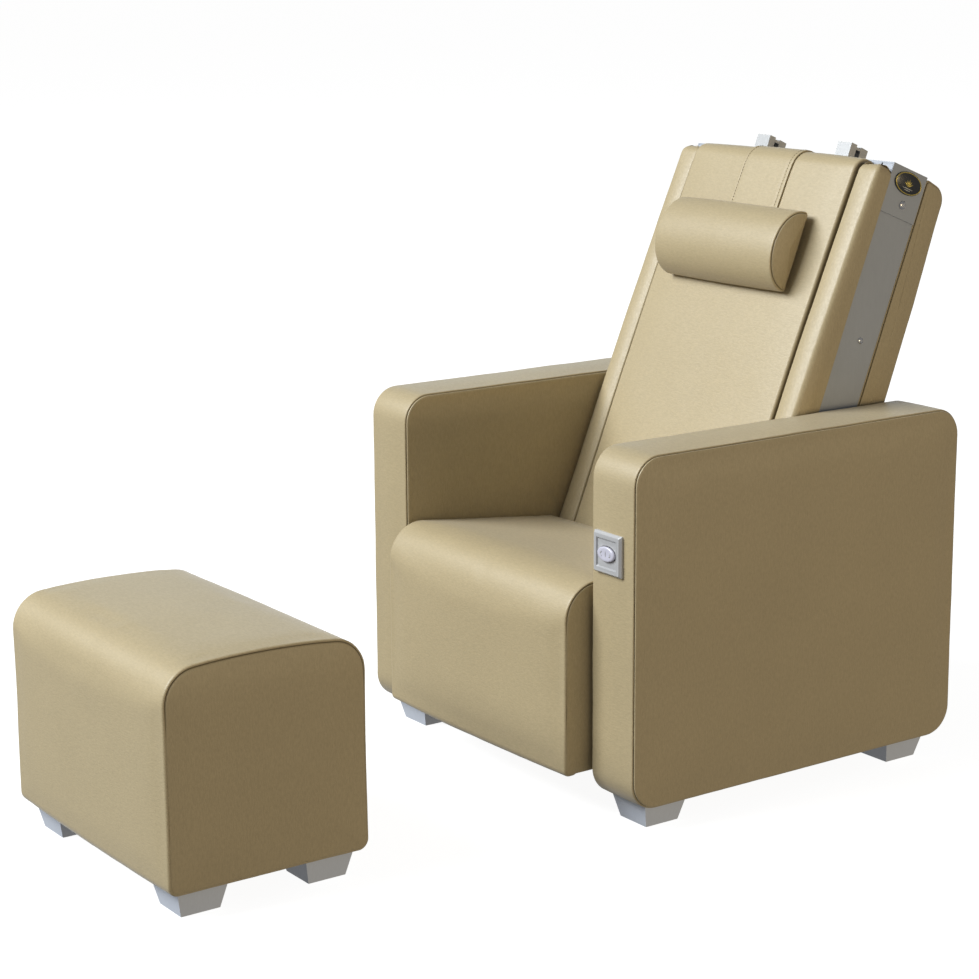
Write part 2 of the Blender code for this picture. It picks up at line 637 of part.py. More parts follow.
def carriage(origin, knead_origin):
    """The massage carriage: a plate with two cheeks, a nut, slide blocks, a motor and the shaft."""
    outer = GUIDE_X - GUIDE_WIDTH / 2 - 0.0010
    inner = outer - 0.006
    plate_front = 0.0080
    plate_rear = 0.0160
    cheek_front = KNEAD_T - 0.012
    outline = [(-outer, plate_rear), (-outer, cheek_front), (-inner, cheek_front), (-inner, plate_front),
               (inner, plate_front), (inner, cheek_front), (outer, cheek_front), (outer, plate_rear)]
    frame = prism("carriage_frame", [outline], "Z", -CARRIAGE_HALF, CARRIAGE_HALF, "steel_grey", origin)
    bore = rod("carriage_bore", "X", (KNEAD_T, 0.0), 0.0075, -0.1, 0.1, "steel_grey", origin)
    combine(frame, bore, 'DIFFERENCE')
    slot_middle = GUIDE_FRONT_T + GUIDE_FRONT_LEG + GUIDE_SLOT / 2
    slide = GUIDE_SLOT / 2 - 0.0005
    far = GUIDE_X + GUIDE_WIDTH / 2 - 0.002
    for side, sign in (("left", 1), ("right", -1)):
        near, end = sorted((sign * (outer - 0.001), sign * far))
        block = box(f"slide_block_{side}", (near, slot_middle - slide, -0.045),
                    (end, slot_middle + slide, 0.045), "steel_grey", origin)
        combine(frame, block, 'UNION')
    outline = rectangle((SCREW_X - 0.018, plate_rear - 0.001), (SCREW_X + 0.018, 0.056))
    nut = prism("lift_nut", [outline, circle((SCREW_X, SCREW_T), SCREW_RADIUS + 0.0005)], "Z",
                -0.030, 0.030, "steel_grey", origin)
    combine(frame, nut, 'UNION')
    box("knead_motor", (-0.078, plate_rear + GAP, -0.040), (-0.012, 0.055, 0.040), "black_plastic", origin)
    rod("knead_shaft", "X", (0.0, 0.0), 0.007, -outer + 0.0005, outer - 0.0005, "bright_steel", knead_origin)
    for side, sign in (("left", 1), ("right", -1)):
        rim = circle((sign * HEAD_OFFSET, 0.0), HEAD_RADIUS, 32)
        bore = circle((0.0, 0.0), 0.0073, 20)
        middle = sign * 0.052
        prism(f"massage_head_{side}", [rim, bore], "X", middle - 0.011, middle + 0.011, "black_plastic",
              knead_origin, True)


# ---------------------------------------------------------------- ottoman

def ottoman(parent):
    """The ottoman: a crowned band over a hollow box, two side panels and four feet."""
    depth = OTTOMAN_HALF_DEPTH
    top = OTTOMAN_TOP
    corners = [(-depth, OTTOMAN_BOTTOM), (-depth, top - 0.010), (-0.070, top + 0.001),
               (0.040, top), (depth, top - 0.018), (depth, OTTOMAN_BOTTOM)]
    outline = rounded(corners, [0.018, 0.052, 0.300, 0.300, 0.055, 0.018], 6)
    wall = OTTOMAN_WALL
    inset = rectangle((wall - depth, OTTOMAN_BOTTOM + wall), (depth - wall, top - 0.075))
    hole = rounded(inset, [0.004, 0.004, 0.020, 0.020], 3)
    half = OTTOMAN_HALF_WIDTH - SEAT_PANEL - GAP
    prism("ottoman_band", [outline, hole], "X", -half, half, "vinyl", parent)
    for side, sign in (("left", 1), ("right", -1)):
        low, high = sorted((sign * (half + GAP), sign * OTTOMAN_HALF_WIDTH))
        prism(f"ottoman_panel_{side}", [outline], "X", low, high, "vinyl_side", parent)
        for end, across in (("front", -OTTOMAN_FEET[1]), ("rear", OTTOMAN_FEET[1])):
            place = (sign * OTTOMAN_FEET[0], across)
            foot(f"ottoman_foot_{side}_{end}", place, OTTOMAN_BOTTOM - GAP, parent)


# ---------------------------------------------------------------- assembly

def main():
    """Builds every piece, under one empty for each moving body."""
    chair = empty("chair_origin", (0.0, CHAIR_Y, 0.0))
    rocker = empty("rocker_axis", SWITCH_PLACE, chair)
    pin_y, pin_z = lever_pin_place()
    pin_z -= LEVER_REACH * (1 - math.cos(RECLINE / 2)) / 2
    actuator_rod = empty("actuator_axis", (0.0, pin_y, pin_z), chair)
    back = empty("back_pivot", PIVOT, chair, LEAN)
    pillow_origin = empty("pillow_origin", (0.0, PILLOW_T, PILLOW_S), back)
    carriage_origin = empty("carriage_origin", (0.0, 0.0, CARRIAGE_S), back)
    knead_axis = empty("knead_axis", (0.0, KNEAD_T, 0.0), carriage_origin)
    screw_axis = empty("screw_axis", (SCREW_X, SCREW_T, CARRIAGE_S), back)
    ottoman_origin = empty("ottoman_origin", OTTOMAN_PLACE)

    for side, sign in (("left", 1), ("right", -1)):
        arm(side, sign, chair)
    seat(chair)
    front_tube = base_frame(chair)
    actuator(chair, actuator_rod, front_tube)
    switch(chair, rocker)
    power_inlet(chair)
    back_frame(back)
    back_cushions(back)
    pillow(pillow_origin)
    lever(back)
    lift_drive(back, screw_axis)
    carriage(carriage_origin, knead_axis)
    ottoman(ottoman_origin)


for old in list(bpy.data.objects):
    bpy.data.objects.remove(old)

materials = {}
for label, (colour, roughness, metallic) in FINISHES.items():
    material = bpy.data.materials.new(label)
    material.use_nodes = True
    shader = material.node_tree.nodes["Principled BSDF"]
    shader.inputs["Base Color"].default_value = (*colour, 1.0)
    shader.inputs["Roughness"].default_value = roughness
    shader.inputs["Metallic"].default_value = metallic
    materials[label] = material

main()
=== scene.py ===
import json
import math

import bpy
import numpy as np
from mathutils import Matrix, Vector, kdtree, noise


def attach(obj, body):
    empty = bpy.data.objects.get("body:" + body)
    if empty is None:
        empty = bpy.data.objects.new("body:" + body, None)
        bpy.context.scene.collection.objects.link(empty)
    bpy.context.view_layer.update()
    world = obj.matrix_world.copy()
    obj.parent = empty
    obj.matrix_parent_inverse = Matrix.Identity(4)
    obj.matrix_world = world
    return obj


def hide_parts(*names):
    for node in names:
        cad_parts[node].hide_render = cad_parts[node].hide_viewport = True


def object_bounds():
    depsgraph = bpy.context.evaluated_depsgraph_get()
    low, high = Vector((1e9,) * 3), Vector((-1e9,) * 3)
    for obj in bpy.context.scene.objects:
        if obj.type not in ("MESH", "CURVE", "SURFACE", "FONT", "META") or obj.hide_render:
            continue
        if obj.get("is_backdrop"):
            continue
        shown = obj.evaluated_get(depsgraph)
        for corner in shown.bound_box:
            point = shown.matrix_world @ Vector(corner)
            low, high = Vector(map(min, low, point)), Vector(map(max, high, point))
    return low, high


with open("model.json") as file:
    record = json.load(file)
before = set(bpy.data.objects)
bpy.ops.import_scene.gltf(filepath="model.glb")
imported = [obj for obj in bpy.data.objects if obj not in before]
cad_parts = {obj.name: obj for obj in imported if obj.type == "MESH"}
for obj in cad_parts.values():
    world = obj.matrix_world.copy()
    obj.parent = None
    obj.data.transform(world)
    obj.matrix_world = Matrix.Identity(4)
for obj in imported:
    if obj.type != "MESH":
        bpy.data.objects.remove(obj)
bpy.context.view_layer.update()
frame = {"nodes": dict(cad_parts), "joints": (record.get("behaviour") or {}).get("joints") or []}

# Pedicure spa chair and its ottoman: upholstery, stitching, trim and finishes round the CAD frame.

NODES = frame["nodes"]
JOINTS = {joint["name"]: joint for joint in frame["joints"]}

# Backrest frame: x, then T rearwards across the backrest, then S up it, from the hinge's axis.
PIVOT = Vector(JOINTS["recline"]["pos_m"])
UP = Vector(JOINTS["pillow_slide"]["axis"]).normalized()
REAR = UP.cross(Vector((1, 0, 0)))
BACK = Matrix(((1, REAR.x, UP.x, PIVOT.x), (0, REAR.y, UP.y, PIVOT.y),
               (0, REAR.z, UP.z, PIVOT.z), (0, 0, 0, 1)))
LEAN = math.atan2(UP.y, UP.z)
FLAT = Matrix.Identity(4)


def span(node, matrix=FLAT):
    """Lowest and highest corner of a CAD node, in the frame of a matrix."""
    inside = matrix.inverted()
    points = np.array([inside @ v.co for v in NODES[node].data.vertices])
    return points.min(0), points.max(0)


# ---------------------------------------------------------------- materials

def nodes_of(name):
    """A new material, with its node tree, its shader and a helper that adds nodes."""
    made = bpy.data.materials.new(name)
    made.use_nodes = True
    tree = made.node_tree
    shader = tree.nodes["Principled BSDF"]

    def add(kind, inputs=(), **settings):
        node = tree.nodes.new(kind)
        for key, value in settings.items():
            setattr(node, key, value)
        for key, value in dict(inputs).items():
            if isinstance(value, bpy.types.NodeSocket):
                tree.links.new(value, node.inputs[key])
            else:
                node.inputs[key].default_value = value
        return node

    return made, tree, shader, add


def ramp(add, fac, stops):
    """A colour ramp with (position, grey or colour) stops."""
    node = add("ShaderNodeValToRGB", {"Fac": fac})
    elements = node.color_ramp.elements
    while len(elements) < len(stops):
        elements.new(0.5)
    for element, (place, value) in zip(elements, stops):
        element.position = place
        element.color = (*value, 1) if isinstance(value, tuple) else (value, value, value, 1)
    return node.outputs["Color"]


def tint(add, base, factor, blend, amount):
    """Mixes a colour with another, by a factor."""
    node = add("ShaderNodeMix", data_type="RGBA", blend_type=blend)
    tree = node.id_data
    for number, value in ((0, amount), (6, base), (7, factor)):
        socket = node.inputs[number]
        if isinstance(value, bpy.types.NodeSocket):
            tree.links.new(value, socket)
        elif isinstance(value, tuple):
            socket.default_value = (*value, 1)
        else:
            socket.default_value = value
    return node.outputs[2]


VINYL = (0.448, 0.361, 0.209)
# Dark colour of the seams; the same colour is also painted shade on the overlay's side walls, in the gap
# by the bolsters.
SEAM_AND_GAP_SHADE = (0.085, 0.062, 0.034)
WARP = (0.008, 0.008, 0.008)


def vinyl(name, grain, base=VINYL, rough=0.43):
    """Upholstery vinyl: a fine creased grain, stretched along one axis, with darker seams; the same dark
    seam colour also paints shade on the overlay's side walls, in the gap by the bolsters.
    """
    made, tree, shader, add = nodes_of(name)
    place = add("ShaderNodeTexCoord").outputs["Object"]
    stretched = add("ShaderNodeMapping", {"Vector": place, "Scale": grain}).outputs["Vector"]
    warp = add("ShaderNodeTexNoise", {"Vector": stretched, "Scale": 60.0, "Detail": 2.0})
    bent = add("ShaderNodeVectorMath", {0: warp.outputs["Color"], 1: WARP, 2: stretched},
               operation="MULTIPLY_ADD")
    creases = add("ShaderNodeTexNoise", {"Vector": bent.outputs[0], "Scale": 230.0, "Detail": 3.0,
                                         "Roughness": 0.62})
    cells = add("ShaderNodeTexVoronoi", {"Vector": bent.outputs[0], "Scale": 620.0},
                feature="DISTANCE_TO_EDGE")
    pores = ramp(add, cells.outputs["Distance"], ((0.0, 0.0), (0.16, 1.0)))
    broad = add("ShaderNodeTexNoise", {"Vector": place, "Scale": 5.0, "Detail": 3.0})
    patch = ramp(add, broad.outputs["Fac"], ((0.30, 0.975), (0.72, 1.02)))
    flecks = ramp(add, creases.outputs["Fac"], ((0.36, 0.935), (0.64, 1.045)))
    shade = tint(add, base, patch, "MULTIPLY", 1.0)
    shade = tint(add, shade, flecks, "MULTIPLY", 1.0)
    shade = tint(add, shade, pores, "MULTIPLY", 0.10)
    # The seam attribute darkens the seams, and on the overlay's side walls it carries painted shade of
    # the gap by the bolsters.
    seam = add("ShaderNodeAttribute", attribute_name="seam").outputs["Fac"]
    shade = tint(add, shade, SEAM_AND_GAP_SHADE, "MIX", seam)
    worn = ramp(add, add("ShaderNodeNewGeometry").outputs["Pointiness"], ((0.50, 0.0), (0.62, 1.0)))
    lighter = tuple(min(1.0, channel * 1.14) for channel in base)
    wear = add("ShaderNodeMath", {0: worn, 1: 0.35}, operation="MULTIPLY").outputs[0]
    shade = tint(add, shade, lighter, "MIX", wear)
    tree.links.new(shade, shader.inputs["Base Color"])
    gloss = ramp(add, creases.outputs["Fac"], ((0.25, rough + 0.08), (0.75, rough - 0.04)))
    tree.links.new(gloss, shader.inputs["Roughness"])
    fine = add("ShaderNodeBump", {"Strength": 0.30, "Distance": 0.0001, "Height": pores})
    coarse = add("ShaderNodeBump", {"Strength": 0.50, "Distance": 0.0007,
                                    "Height": creases.outputs["Fac"], "Normal": fine.outputs["Normal"]})
    tree.links.new(coarse.outputs["Normal"], shader.inputs["Normal"])
    shader.inputs["Specular IOR Level"].default_value = 0.50
    shader.inputs["Coat Weight"].default_value = 0.15
    shader.inputs["Coat Roughness"].default_value = 0.42
    shader.inputs["Sheen Weight"].default_value = 0.30
    shader.inputs["Sheen Roughness"].default_value = 0.35
    return made


def hard(name, base, rough, metal=0.0, grain=(1.0, 1.0, 1.0), scale=300.0, bump=0.15, coat=0.0,
         vary=0.05):
    """A metal, paint or plastic finish, with streaks or speckle and a faint texture."""
    made, tree, shader, add = nodes_of(name)
    place = add("ShaderNodeTexCoord").outputs["Object"]
    stretched = add("ShaderNodeMapping", {"Vector": place, "Scale": grain}).outputs["Vector"]
    fine = add("ShaderNodeTexNoise", {"Vector": stretched, "Scale": scale, "Detail": 4.0})
    broad = add("ShaderNodeTexNoise", {"Vector": place, "Scale": 9.0, "Detail": 2.0})
    shade = tint(add, base, ramp(add, fine.outputs["Fac"], ((0.3, 1 - vary), (0.7, 1 + vary))),
                 "MULTIPLY", 1.0)
    shade = tint(add, shade, ramp(add, broad.outputs["Fac"], ((0.3, 1 - vary), (0.7, 1 + vary))),
                 "MULTIPLY", 1.0)
    worn = ramp(add, add("ShaderNodeNewGeometry").outputs["Pointiness"], ((0.53, 0.0), (0.60, 1.0)))
    wear = add("ShaderNodeMath", {0: worn, 1: 0.5}, operation="MULTIPLY").outputs[0]
    lighter = tuple(min(1.0, channel * 1.35 + 0.01) for channel in base)
    shade = tint(add, shade, lighter, "MIX", wear)
    tree.links.new(shade, shader.inputs["Base Color"])
    gloss = ramp(add, fine.outputs["Fac"], ((0.25, rough + 0.06), (0.75, rough - 0.05)))
    tree.links.new(gloss, shader.inputs["Roughness"])
    raised = add("ShaderNodeBump", {"Strength": bump, "Distance": 0.0003,
                                    "Height": fine.outputs["Fac"]})
    tree.links.new(raised.outputs["Normal"], shader.inputs["Normal"])
    shader.inputs["Metallic"].default_value = metal
    shader.inputs["Coat Weight"].default_value = coat
    shader.inputs["Coat Roughness"].default_value = 0.15
    return made


def plywood():
    """Birch plywood, with long grain streaks."""
    made, tree, shader, add = nodes_of("plywood")
    place = add("ShaderNodeTexCoord").outputs["Object"]
    along = add("ShaderNodeMapping", {"Vector": place, "Scale": (2.0, 30.0, 60.0)}).outputs["Vector"]
    streaks = add("ShaderNodeTexNoise", {"Vector": along, "Scale": 9.0, "Detail": 6.0,
                                         "Roughness": 0.6}).outputs["Fac"]
    shade = ramp(add, streaks, ((0.3, (0.42, 0.27, 0.13)), (0.7, (0.66, 0.48, 0.28))))
    tree.links.new(shade, shader.inputs["Base Color"])
    shader.inputs["Roughness"].default_value = 0.65
    raised = add("ShaderNodeBump", {"Strength": 0.2, "Distance": 0.0004, "Height": streaks})
    tree.links.new(raised.outputs["Normal"], shader.inputs["Normal"])
    return made


LEVEL = (0.55, 1.0, 1.9)
UPRIGHT = (1.0, 1.7, 0.55)
MATERIALS = {
    "vinyl": vinyl("vinyl_band", LEVEL),
    "vinyl_side": vinyl("vinyl_panel", UPRIGHT),
    "thread": hard("thread", (0.25, 0.195, 0.115), 0.65, scale=900.0, bump=0.4, vary=0.15),
    "steel_grey": hard("steel_grey", (0.314, 0.337, 0.376), 0.42, 0.10, (1, 1, 0.2), 260.0, 0.08),
    "frame_black": hard("frame_black", (0.022, 0.022, 0.024), 0.48, 0.1, scale=420.0, bump=0.25),
    "foot_grey": hard("foot_grey", (0.545, 0.580, 0.650), 0.42, 0.10, (1, 1, 0.3), 320.0, 0.1),
    "rail_light": hard("rail_light", (0.360, 0.362, 0.362), 0.34, 0.35, (1, 1, 0.12), 300.0, 0.1),
    "bright_steel": hard("bright_steel", (0.62, 0.62, 0.64), 0.20, 1.0, scale=500.0, bump=0.05),
    "plywood": plywood(),
    "plate_grey": hard("plate_grey", (0.400, 0.400, 0.405), 0.34, scale=700.0, bump=0.12, coat=0.2),
    "rocker_white": hard("rocker_white", (0.560, 0.550, 0.640), 0.26, scale=700.0, bump=0.05, coat=0.5),
    "black_plastic": hard("black_plastic", (0.018, 0.018, 0.019), 0.42, scale=650.0, bump=0.3),
    "badge_black": hard("badge_black", (0.010, 0.010, 0.011), 0.22, scale=400.0, bump=0.03, coat=0.6),
    "badge_gold": hard("badge_gold", (0.60, 0.47, 0.13), 0.30, 0.8, scale=400.0, bump=0.06),
    "badge_pale": hard("badge_pale", (0.62, 0.61, 0.56), 0.35, 0.2, scale=400.0, bump=0.05),
}


# ---------------------------------------------------------------- outlines

def rounded(corners, radii, steps=8):
    """A polygon whose corners are replaced by arcs of the given radii."""
    points = []
    for i, (corner, radius) in enumerate(zip(corners, radii)):
        here = Vector(corner)
        if radius == 0:
            points.append(tuple(here))
            continue
        back = (Vector(corners[i - 1]) - here).normalized()
        ahead = (Vector(corners[(i + 1) % len(corners)]) - here).normalized()
        half = back.angle(ahead) / 2
        centre = here + (back + ahead).normalized() * (radius / math.sin(half))
        first = here + back * (radius / math.tan(half)) - centre
        last = here + ahead * (radius / math.tan(half)) - centre
        start = math.atan2(first.y, first.x)
        sweep = (math.atan2(last.y, last.x) - start + math.pi) % math.tau - math.pi
        for k in range(steps + 1):
            turn = start + sweep * k / steps
            points.append((centre.x + radius * math.cos(turn), centre.y + radius * math.sin(turn)))
    return points


def outline(corners, radii, step=0.012, steps=10):
    """A rounded polygon, anticlockwise, with its long edges divided."""
    points = rounded(corners, radii, steps)
    area = sum(a[0] * b[1] - b[0] * a[1] for a, b in zip(points, points[1:] + points[:1]))
    if area < 0:
        points.reverse()
    made = []
    for a, b in zip(points, points[1:] + points[:1]):
        parts = max(1, math.ceil(math.dist(a, b) / step))
        made += [(a[0] + (b[0] - a[0]) * k / parts, a[1] + (b[1] - a[1]) * k / parts)
                 for k in range(parts)]
    return np.array(made)


def inward(points):
    """Mitred inward normals of an anticlockwise outline."""
    ahead = np.roll(points, -1, 0) - points
    ahead /= np.linalg.norm(ahead, axis=1, keepdims=True)
    edge = np.stack((-ahead[:, 1], ahead[:, 0]), 1)
    both = edge + np.roll(edge, 1, 0)
    return both * 2 / (both ** 2).sum(1, keepdims=True)


def ring(points, normals, depth, x):
    """An outline, moved inwards by a depth, at a place along x."""
    moved = points + normals * np.reshape(depth, (-1, 1))
    return np.column_stack((np.broadcast_to(x, len(points)), moved))


# ---------------------------------------------------------------- meshes

def mesh_object(name, points, faces, material, matrix=FLAT, seam=None):
    """A closed mesh from points and faces, turned so that it faces outwards."""
    points = np.array(points, float)
    mesh = bpy.data.meshes.new(name)
    mesh.from_pydata([tuple(p) for p in points], [], faces)
    mesh.transform(matrix)
    mesh.update()
    volume = 0.0
    for polygon in mesh.polygons:
        volume += polygon.center.dot(polygon.normal) * polygon.area
    if volume < 0:
        mesh.flip_normals()
    if seam is not None:
        mark = mesh.attributes.new("seam", "FLOAT", "POINT")
        mark.data.foreach_set("value", np.array(seam, np.float32))
    mesh.shade_smooth()
    if material is not None:
        mesh.materials.append(MATERIALS[material])
    made = bpy.data.objects.new(name, mesh)
    bpy.context.scene.collection.objects.link(made)
    return made


def skin(name, rings, material, matrix=FLAT, seam=None, loop=False):
    """Joins rings of points one after another, as a loop or with both ends closed."""
    count = len(rings[0])
    rows = len(rings)
    faces = []
    for r in range(rows if loop else rows - 1):
        here, there = r * count, ((r + 1) % rows) * count
        faces += [(here + i - 1 if i else here + count - 1, here + i, there + i,
                   there + i - 1 if i else there + count - 1) for i in range(count)]
    if not loop:
        faces.append(tuple(range(count))[::-1])
        faces.append(tuple(range((rows - 1) * count, rows * count)))
    if seam is not None:
        seam = np.repeat(seam, count) if np.ndim(seam) == 1 else np.ravel(seam)
    return mesh_object(name, np.concatenate(rings), faces, material, matrix, seam)


GROOVE = 0.0022
GROOVE_WIDTH = 0.0013
SEAM_WIDTH = 0.0008
SEAM_FAINT = 0.15
PUFF_RISE = 0.020


def edge_stations(roll, seam_turn):
    """Places along an edge's profile, as the distance from where its roll starts."""
    places = {roll * math.pi / 2 * k / 10 for k in range(11)}
    places |= {roll * math.pi / 2 + extra for extra in (0.0018, 0.0040)}
    if seam_turn is None:
        return sorted(places), None
    seam = roll * math.radians(seam_turn)
    near = (0.0, 0.0005, 0.0010, 0.0016, 0.0026)
    places = {u for u in places if abs(u - seam) > 0.0030}
    places |= {seam + u for u in near} | {seam - u for u in near}
    return sorted(u for u in places if u > -0.002), seam


def edge_rings(points, normals, edge_x, sign, roll, seam_turn, weight):
    """Rings round an edge, as (place, ring, seam mark), from the band onto the side face."""
    places, seam = edge_stations(roll, seam_turn)
    made = []
    for u in places:
        turn = min(max(u, 0.0) / roll, math.pi / 2)
        flat = max(0.0, u - roll * math.pi / 2)
        dip = 0.0 if seam is None else GROOVE * math.exp(-((u - seam) / GROOVE_WIDTH) ** 2) * weight
        depth = roll * (1 - math.cos(turn)) + flat + dip * math.cos(turn)
        x = edge_x - sign * (roll * (1 - math.sin(turn)) - min(u, 0.0) + dip * math.sin(turn))
        mark = 0.0 if seam is None else math.exp(-((u - seam) / SEAM_WIDTH) ** 2)
        made.append((u, ring(points, normals, depth, x), mark))
    return made, seam


def face_rings(points, normals, start, away, edge_x, sign, puff):
    """Rings over a side face, from a ring near its edge to its middle."""
    rings = []
    last = start[:, 1:]
    middle = last.mean(0)
    reach = -((last - middle) * normals).sum(1) / np.linalg.norm(normals, axis=1)
    steps = max(6, int(np.median(np.abs(reach)) / 0.013))
    for k in range(1, steps + 1):
        share = 1 - (k / steps) ** 1.15 * 0.985
        far = away + (1 - share) * np.maximum(reach, 0.0)
        x = edge_x + sign * puff * (1 - np.exp(-far / PUFF_RISE))
        if k == steps:
            x = np.full(len(points), x.mean())
        rings.append(np.column_stack((x, middle + (last - middle) * share)))
    return rings


def side_rings(points, normals, edge_x, sign, roll, puff, seam_turn=None, weight=1.0):
    """Rings from a band, round an edge and over a side face, split where the seam is."""
    edge, seam = edge_rings(points, normals, edge_x, sign, roll, seam_turn, weight)
    band = [item for item in edge if seam is not None and item[0] <= seam + 1e-9]
    side = [item for item in edge if seam is None or item[0] >= seam - 1e-9]
    flat_from = roll * math.pi / 2
    rings = []
    for u, shape, mark in side:
        swell = puff * (1 - math.exp(-max(0.0, u - flat_from) / PUFF_RISE))
        rings.append(shape + np.array((sign * swell, 0, 0)))
    away = side[-1][0] - flat_from
    face = face_rings(points, normals, rings[-1], away, edge_x, sign, puff)
    marks = [item[2] for item in side] + [0.0] * len(face)
    return [(shape, mark) for _, shape, mark in band], rings + face, marks


def band_rings(points, normals, low, high, crown):
    """Rings across a band's width, with a slight crown."""
    count = max(2, round((high - low) / 0.012))
    rings = []
    for k in range(count + 1):
        x = low + (high - low) * k / count
        middle = 2 * k / count - 1
        rings.append(ring(points, normals, -crown * (1 - middle ** 2), x))
    return rings


def fading_below(level, fade=0.050):
    """How strong a seam is at each point of an outline: full above a level, faint below it."""
    return lambda points: SEAM_FAINT + (1 - SEAM_FAINT) * np.clip((points[:, 1] - level) / fade, 0, 1)


SOFT = []
PART_GAP = 0.00015
LIP = 0.009


def boxed(names, points, low, high, roll, seam_turn, puffs, crown, matrix=FLAT, side_points=None,
          fade=None):
    """A boxed cushion: a band between two seams, and a side panel on each side."""
    band_name, low_name, high_name = names
    side_points = points if side_points is None else side_points
    weight = np.ones(len(points)) if fade is None else fade(points)
    side_weight = np.ones(len(side_points)) if fade is None else fade(side_points)
    normals, side_normals = inward(points), inward(side_points)
    middle = band_rings(points, normals, low + roll, high - roll, crown)
    body = band_rings(side_points, side_normals, low + roll, high - roll, crown)
    inset = max(0.003, roll * (1 - math.sin(math.radians(seam_turn))) + 0.0005)
    shapes = {}
    pieces = []
    seams = []
    for name, edge, sign, puff in ((low_name, low, -1, puffs[0]), (high_name, high, 1, puffs[1])):
        wrap, _, _ = side_rings(points, normals, edge, sign, roll, puff, seam_turn, weight)
        outer_wrap, rings, marks = side_rings(side_points, side_normals, edge, sign, roll, puff,
                                              seam_turn, side_weight)
        shapes[sign] = (wrap, outer_wrap, rings)
        seams += [matrix @ Vector(p) for p in rings[0]]
        apart = np.array([sign * PART_GAP, 0, 0])
        rings = [r + apart if i < 2 else r for i, r in enumerate(rings)]
        back = ring(side_points, side_normals, LIP + 0.0015, edge - sign * inset)
        marks = np.outer([1.0] + marks, side_weight)
        pieces.append(skin(name, [back] + rings, "vinyl_side", matrix, marks))
    wraps = {sign: [r for r, _ in shape[0]] for sign, shape in shapes.items()}
    marks = {sign: [m for _, m in shape[0]] for sign, shape in shapes.items()}
    inner = [ring(points, normals, LIP, edge - sign * (inset + 0.0015))
             for edge, sign in ((high, 1), (low, -1))]
    rings = wraps[-1][::-1] + middle[1:-1] + wraps[1] + inner
    marks = marks[-1][::-1] + [0.0] * (len(middle) - 2) + marks[1] + [1.0, 1.0]
    pieces.insert(0, skin(band_name, rings, "vinyl", matrix, np.outer(marks, weight), True))
    low_side = shapes[-1][2][:0:-1] + [r for r, _ in shapes[-1][1]][::-1]
    high_side = [r for r, _ in shapes[1][1]] + shapes[1][2][1:]
    whole = low_side + body[1:-1] + high_side
    SOFT.append({"pieces": pieces, "skin": (whole, matrix), "seams": seams})
    return pieces


def cushion(name, points, low, high, roll, puff, matrix):
    """A one-piece cushion with rolled edges on both sides."""
    normals = inward(points)
    band = band_rings(points, normals, low + roll, high - roll, 0.0)
    _, left, _ = side_rings(points, normals, low, -1, roll, puff)
    _, right, _ = side_rings(points, normals, high, 1, roll, puff)
    whole = left[::-1] + band[1:-1] + right
    made = skin(name, whole, "vinyl", matrix, [0.0] * len(whole))
    SOFT.append({"pieces": [made], "skin": (whole, matrix), "seams": []})
    return made


def lengths(path):
    """How far along a path each of its points lies."""
    steps = np.linalg.norm(np.diff(path, axis=0), axis=1)
    return np.concatenate(([0], np.cumsum(steps)))


def end_shrink(from_end, end_round):
    """How far a rounded end draws a section in, at a distance from that end."""
    left = max(0.0, end_round - from_end)
    return end_round - math.sqrt(max(0.0, end_round ** 2 - left ** 2))


def sweep(name, path, section, material, matrix=FLAT, end_round=0.004, marks=None):
    """Sweeps a section (x, depth) along an open path (t, s), with rounded ends."""
    path = np.array(path)
    ahead = np.gradient(path, axis=0)
    ahead /= np.linalg.norm(ahead, axis=1, keepdims=True)
    side = np.stack((ahead[:, 1], -ahead[:, 0]), 1)
    inner = inward(section)
    length = lengths(path)
    rings = []
    for i, (point, normal) in enumerate(zip(path, side)):
        drawn = section + inner * end_shrink(min(length[i], length[-1] - length[i]), end_round)
        rings.append(np.column_stack((drawn[:, 0], point + normal * drawn[:, 1:])))
    made = skin(name, rings, material, matrix)
    mark = made.data.attributes.new("seam", "FLOAT", "POINT")
    if marks is not None:
        mark.data.foreach_set("value", np.tile(np.array(marks, np.float32), len(rings)))
    return made


def tubes(name, runs, material, matrix=FLAT, sides=6, closed=False):
    """Round bars along runs of points, each with its own radii, as one mesh."""
    points = []
    faces = []
    for run, radii in runs:
        run = np.array(run, float)
        if closed:
            ahead = np.roll(run, -1, 0) - np.roll(run, 1, 0)
        else:
            ahead = np.gradient(run, axis=0)
        ahead /= np.linalg.norm(ahead, axis=1, keepdims=True)
        helper = np.array((1.0, 0, 0)) if abs(ahead[0][0]) < 0.8 else np.array((0, 1.0, 0))
        start = len(points)
        for point, forward, radius in zip(run, ahead, radii):
            across = np.cross(forward, helper)
            across /= np.linalg.norm(across)
            over = np.cross(across, forward)
            for k in range(sides):
                turn = math.tau * k / sides
                points.append(point + radius * (math.cos(turn) * across + math.sin(turn) * over))
        rows = len(run)
        for r in range(rows if closed else rows - 1):
            here, there = start + r * sides, start + ((r + 1) % rows) * sides
            faces += [(here + k, here + (k + 1) % sides, there + (k + 1) % sides, there + k)
                      for k in range(sides)]
        if not closed:
            faces.append(tuple(start + k for k in range(sides))[::-1])
            faces.append(tuple(start + (rows - 1) * sides + k for k in range(sides)))
    return mesh_object(name, points, faces, material, matrix)


def stitch_runs(path, pitch=0.0058, length=0.0042, radius=0.00050):
    """Short rounded stitches along a path of points."""
    path = np.array(path, float)
    along = lengths(path)
    runs = []
    place = pitch / 2
    while place + length < along[-1]:
        stops = place + length * np.array((0.0, 0.12, 0.5, 0.88, 1.0))
        run = np.column_stack([np.interp(stops, along, path[:, i]) for i in range(3)])
        runs.append((run, radius * np.array((0.35, 0.85, 1.0, 0.85, 0.35))))
        place += pitch
    return runs


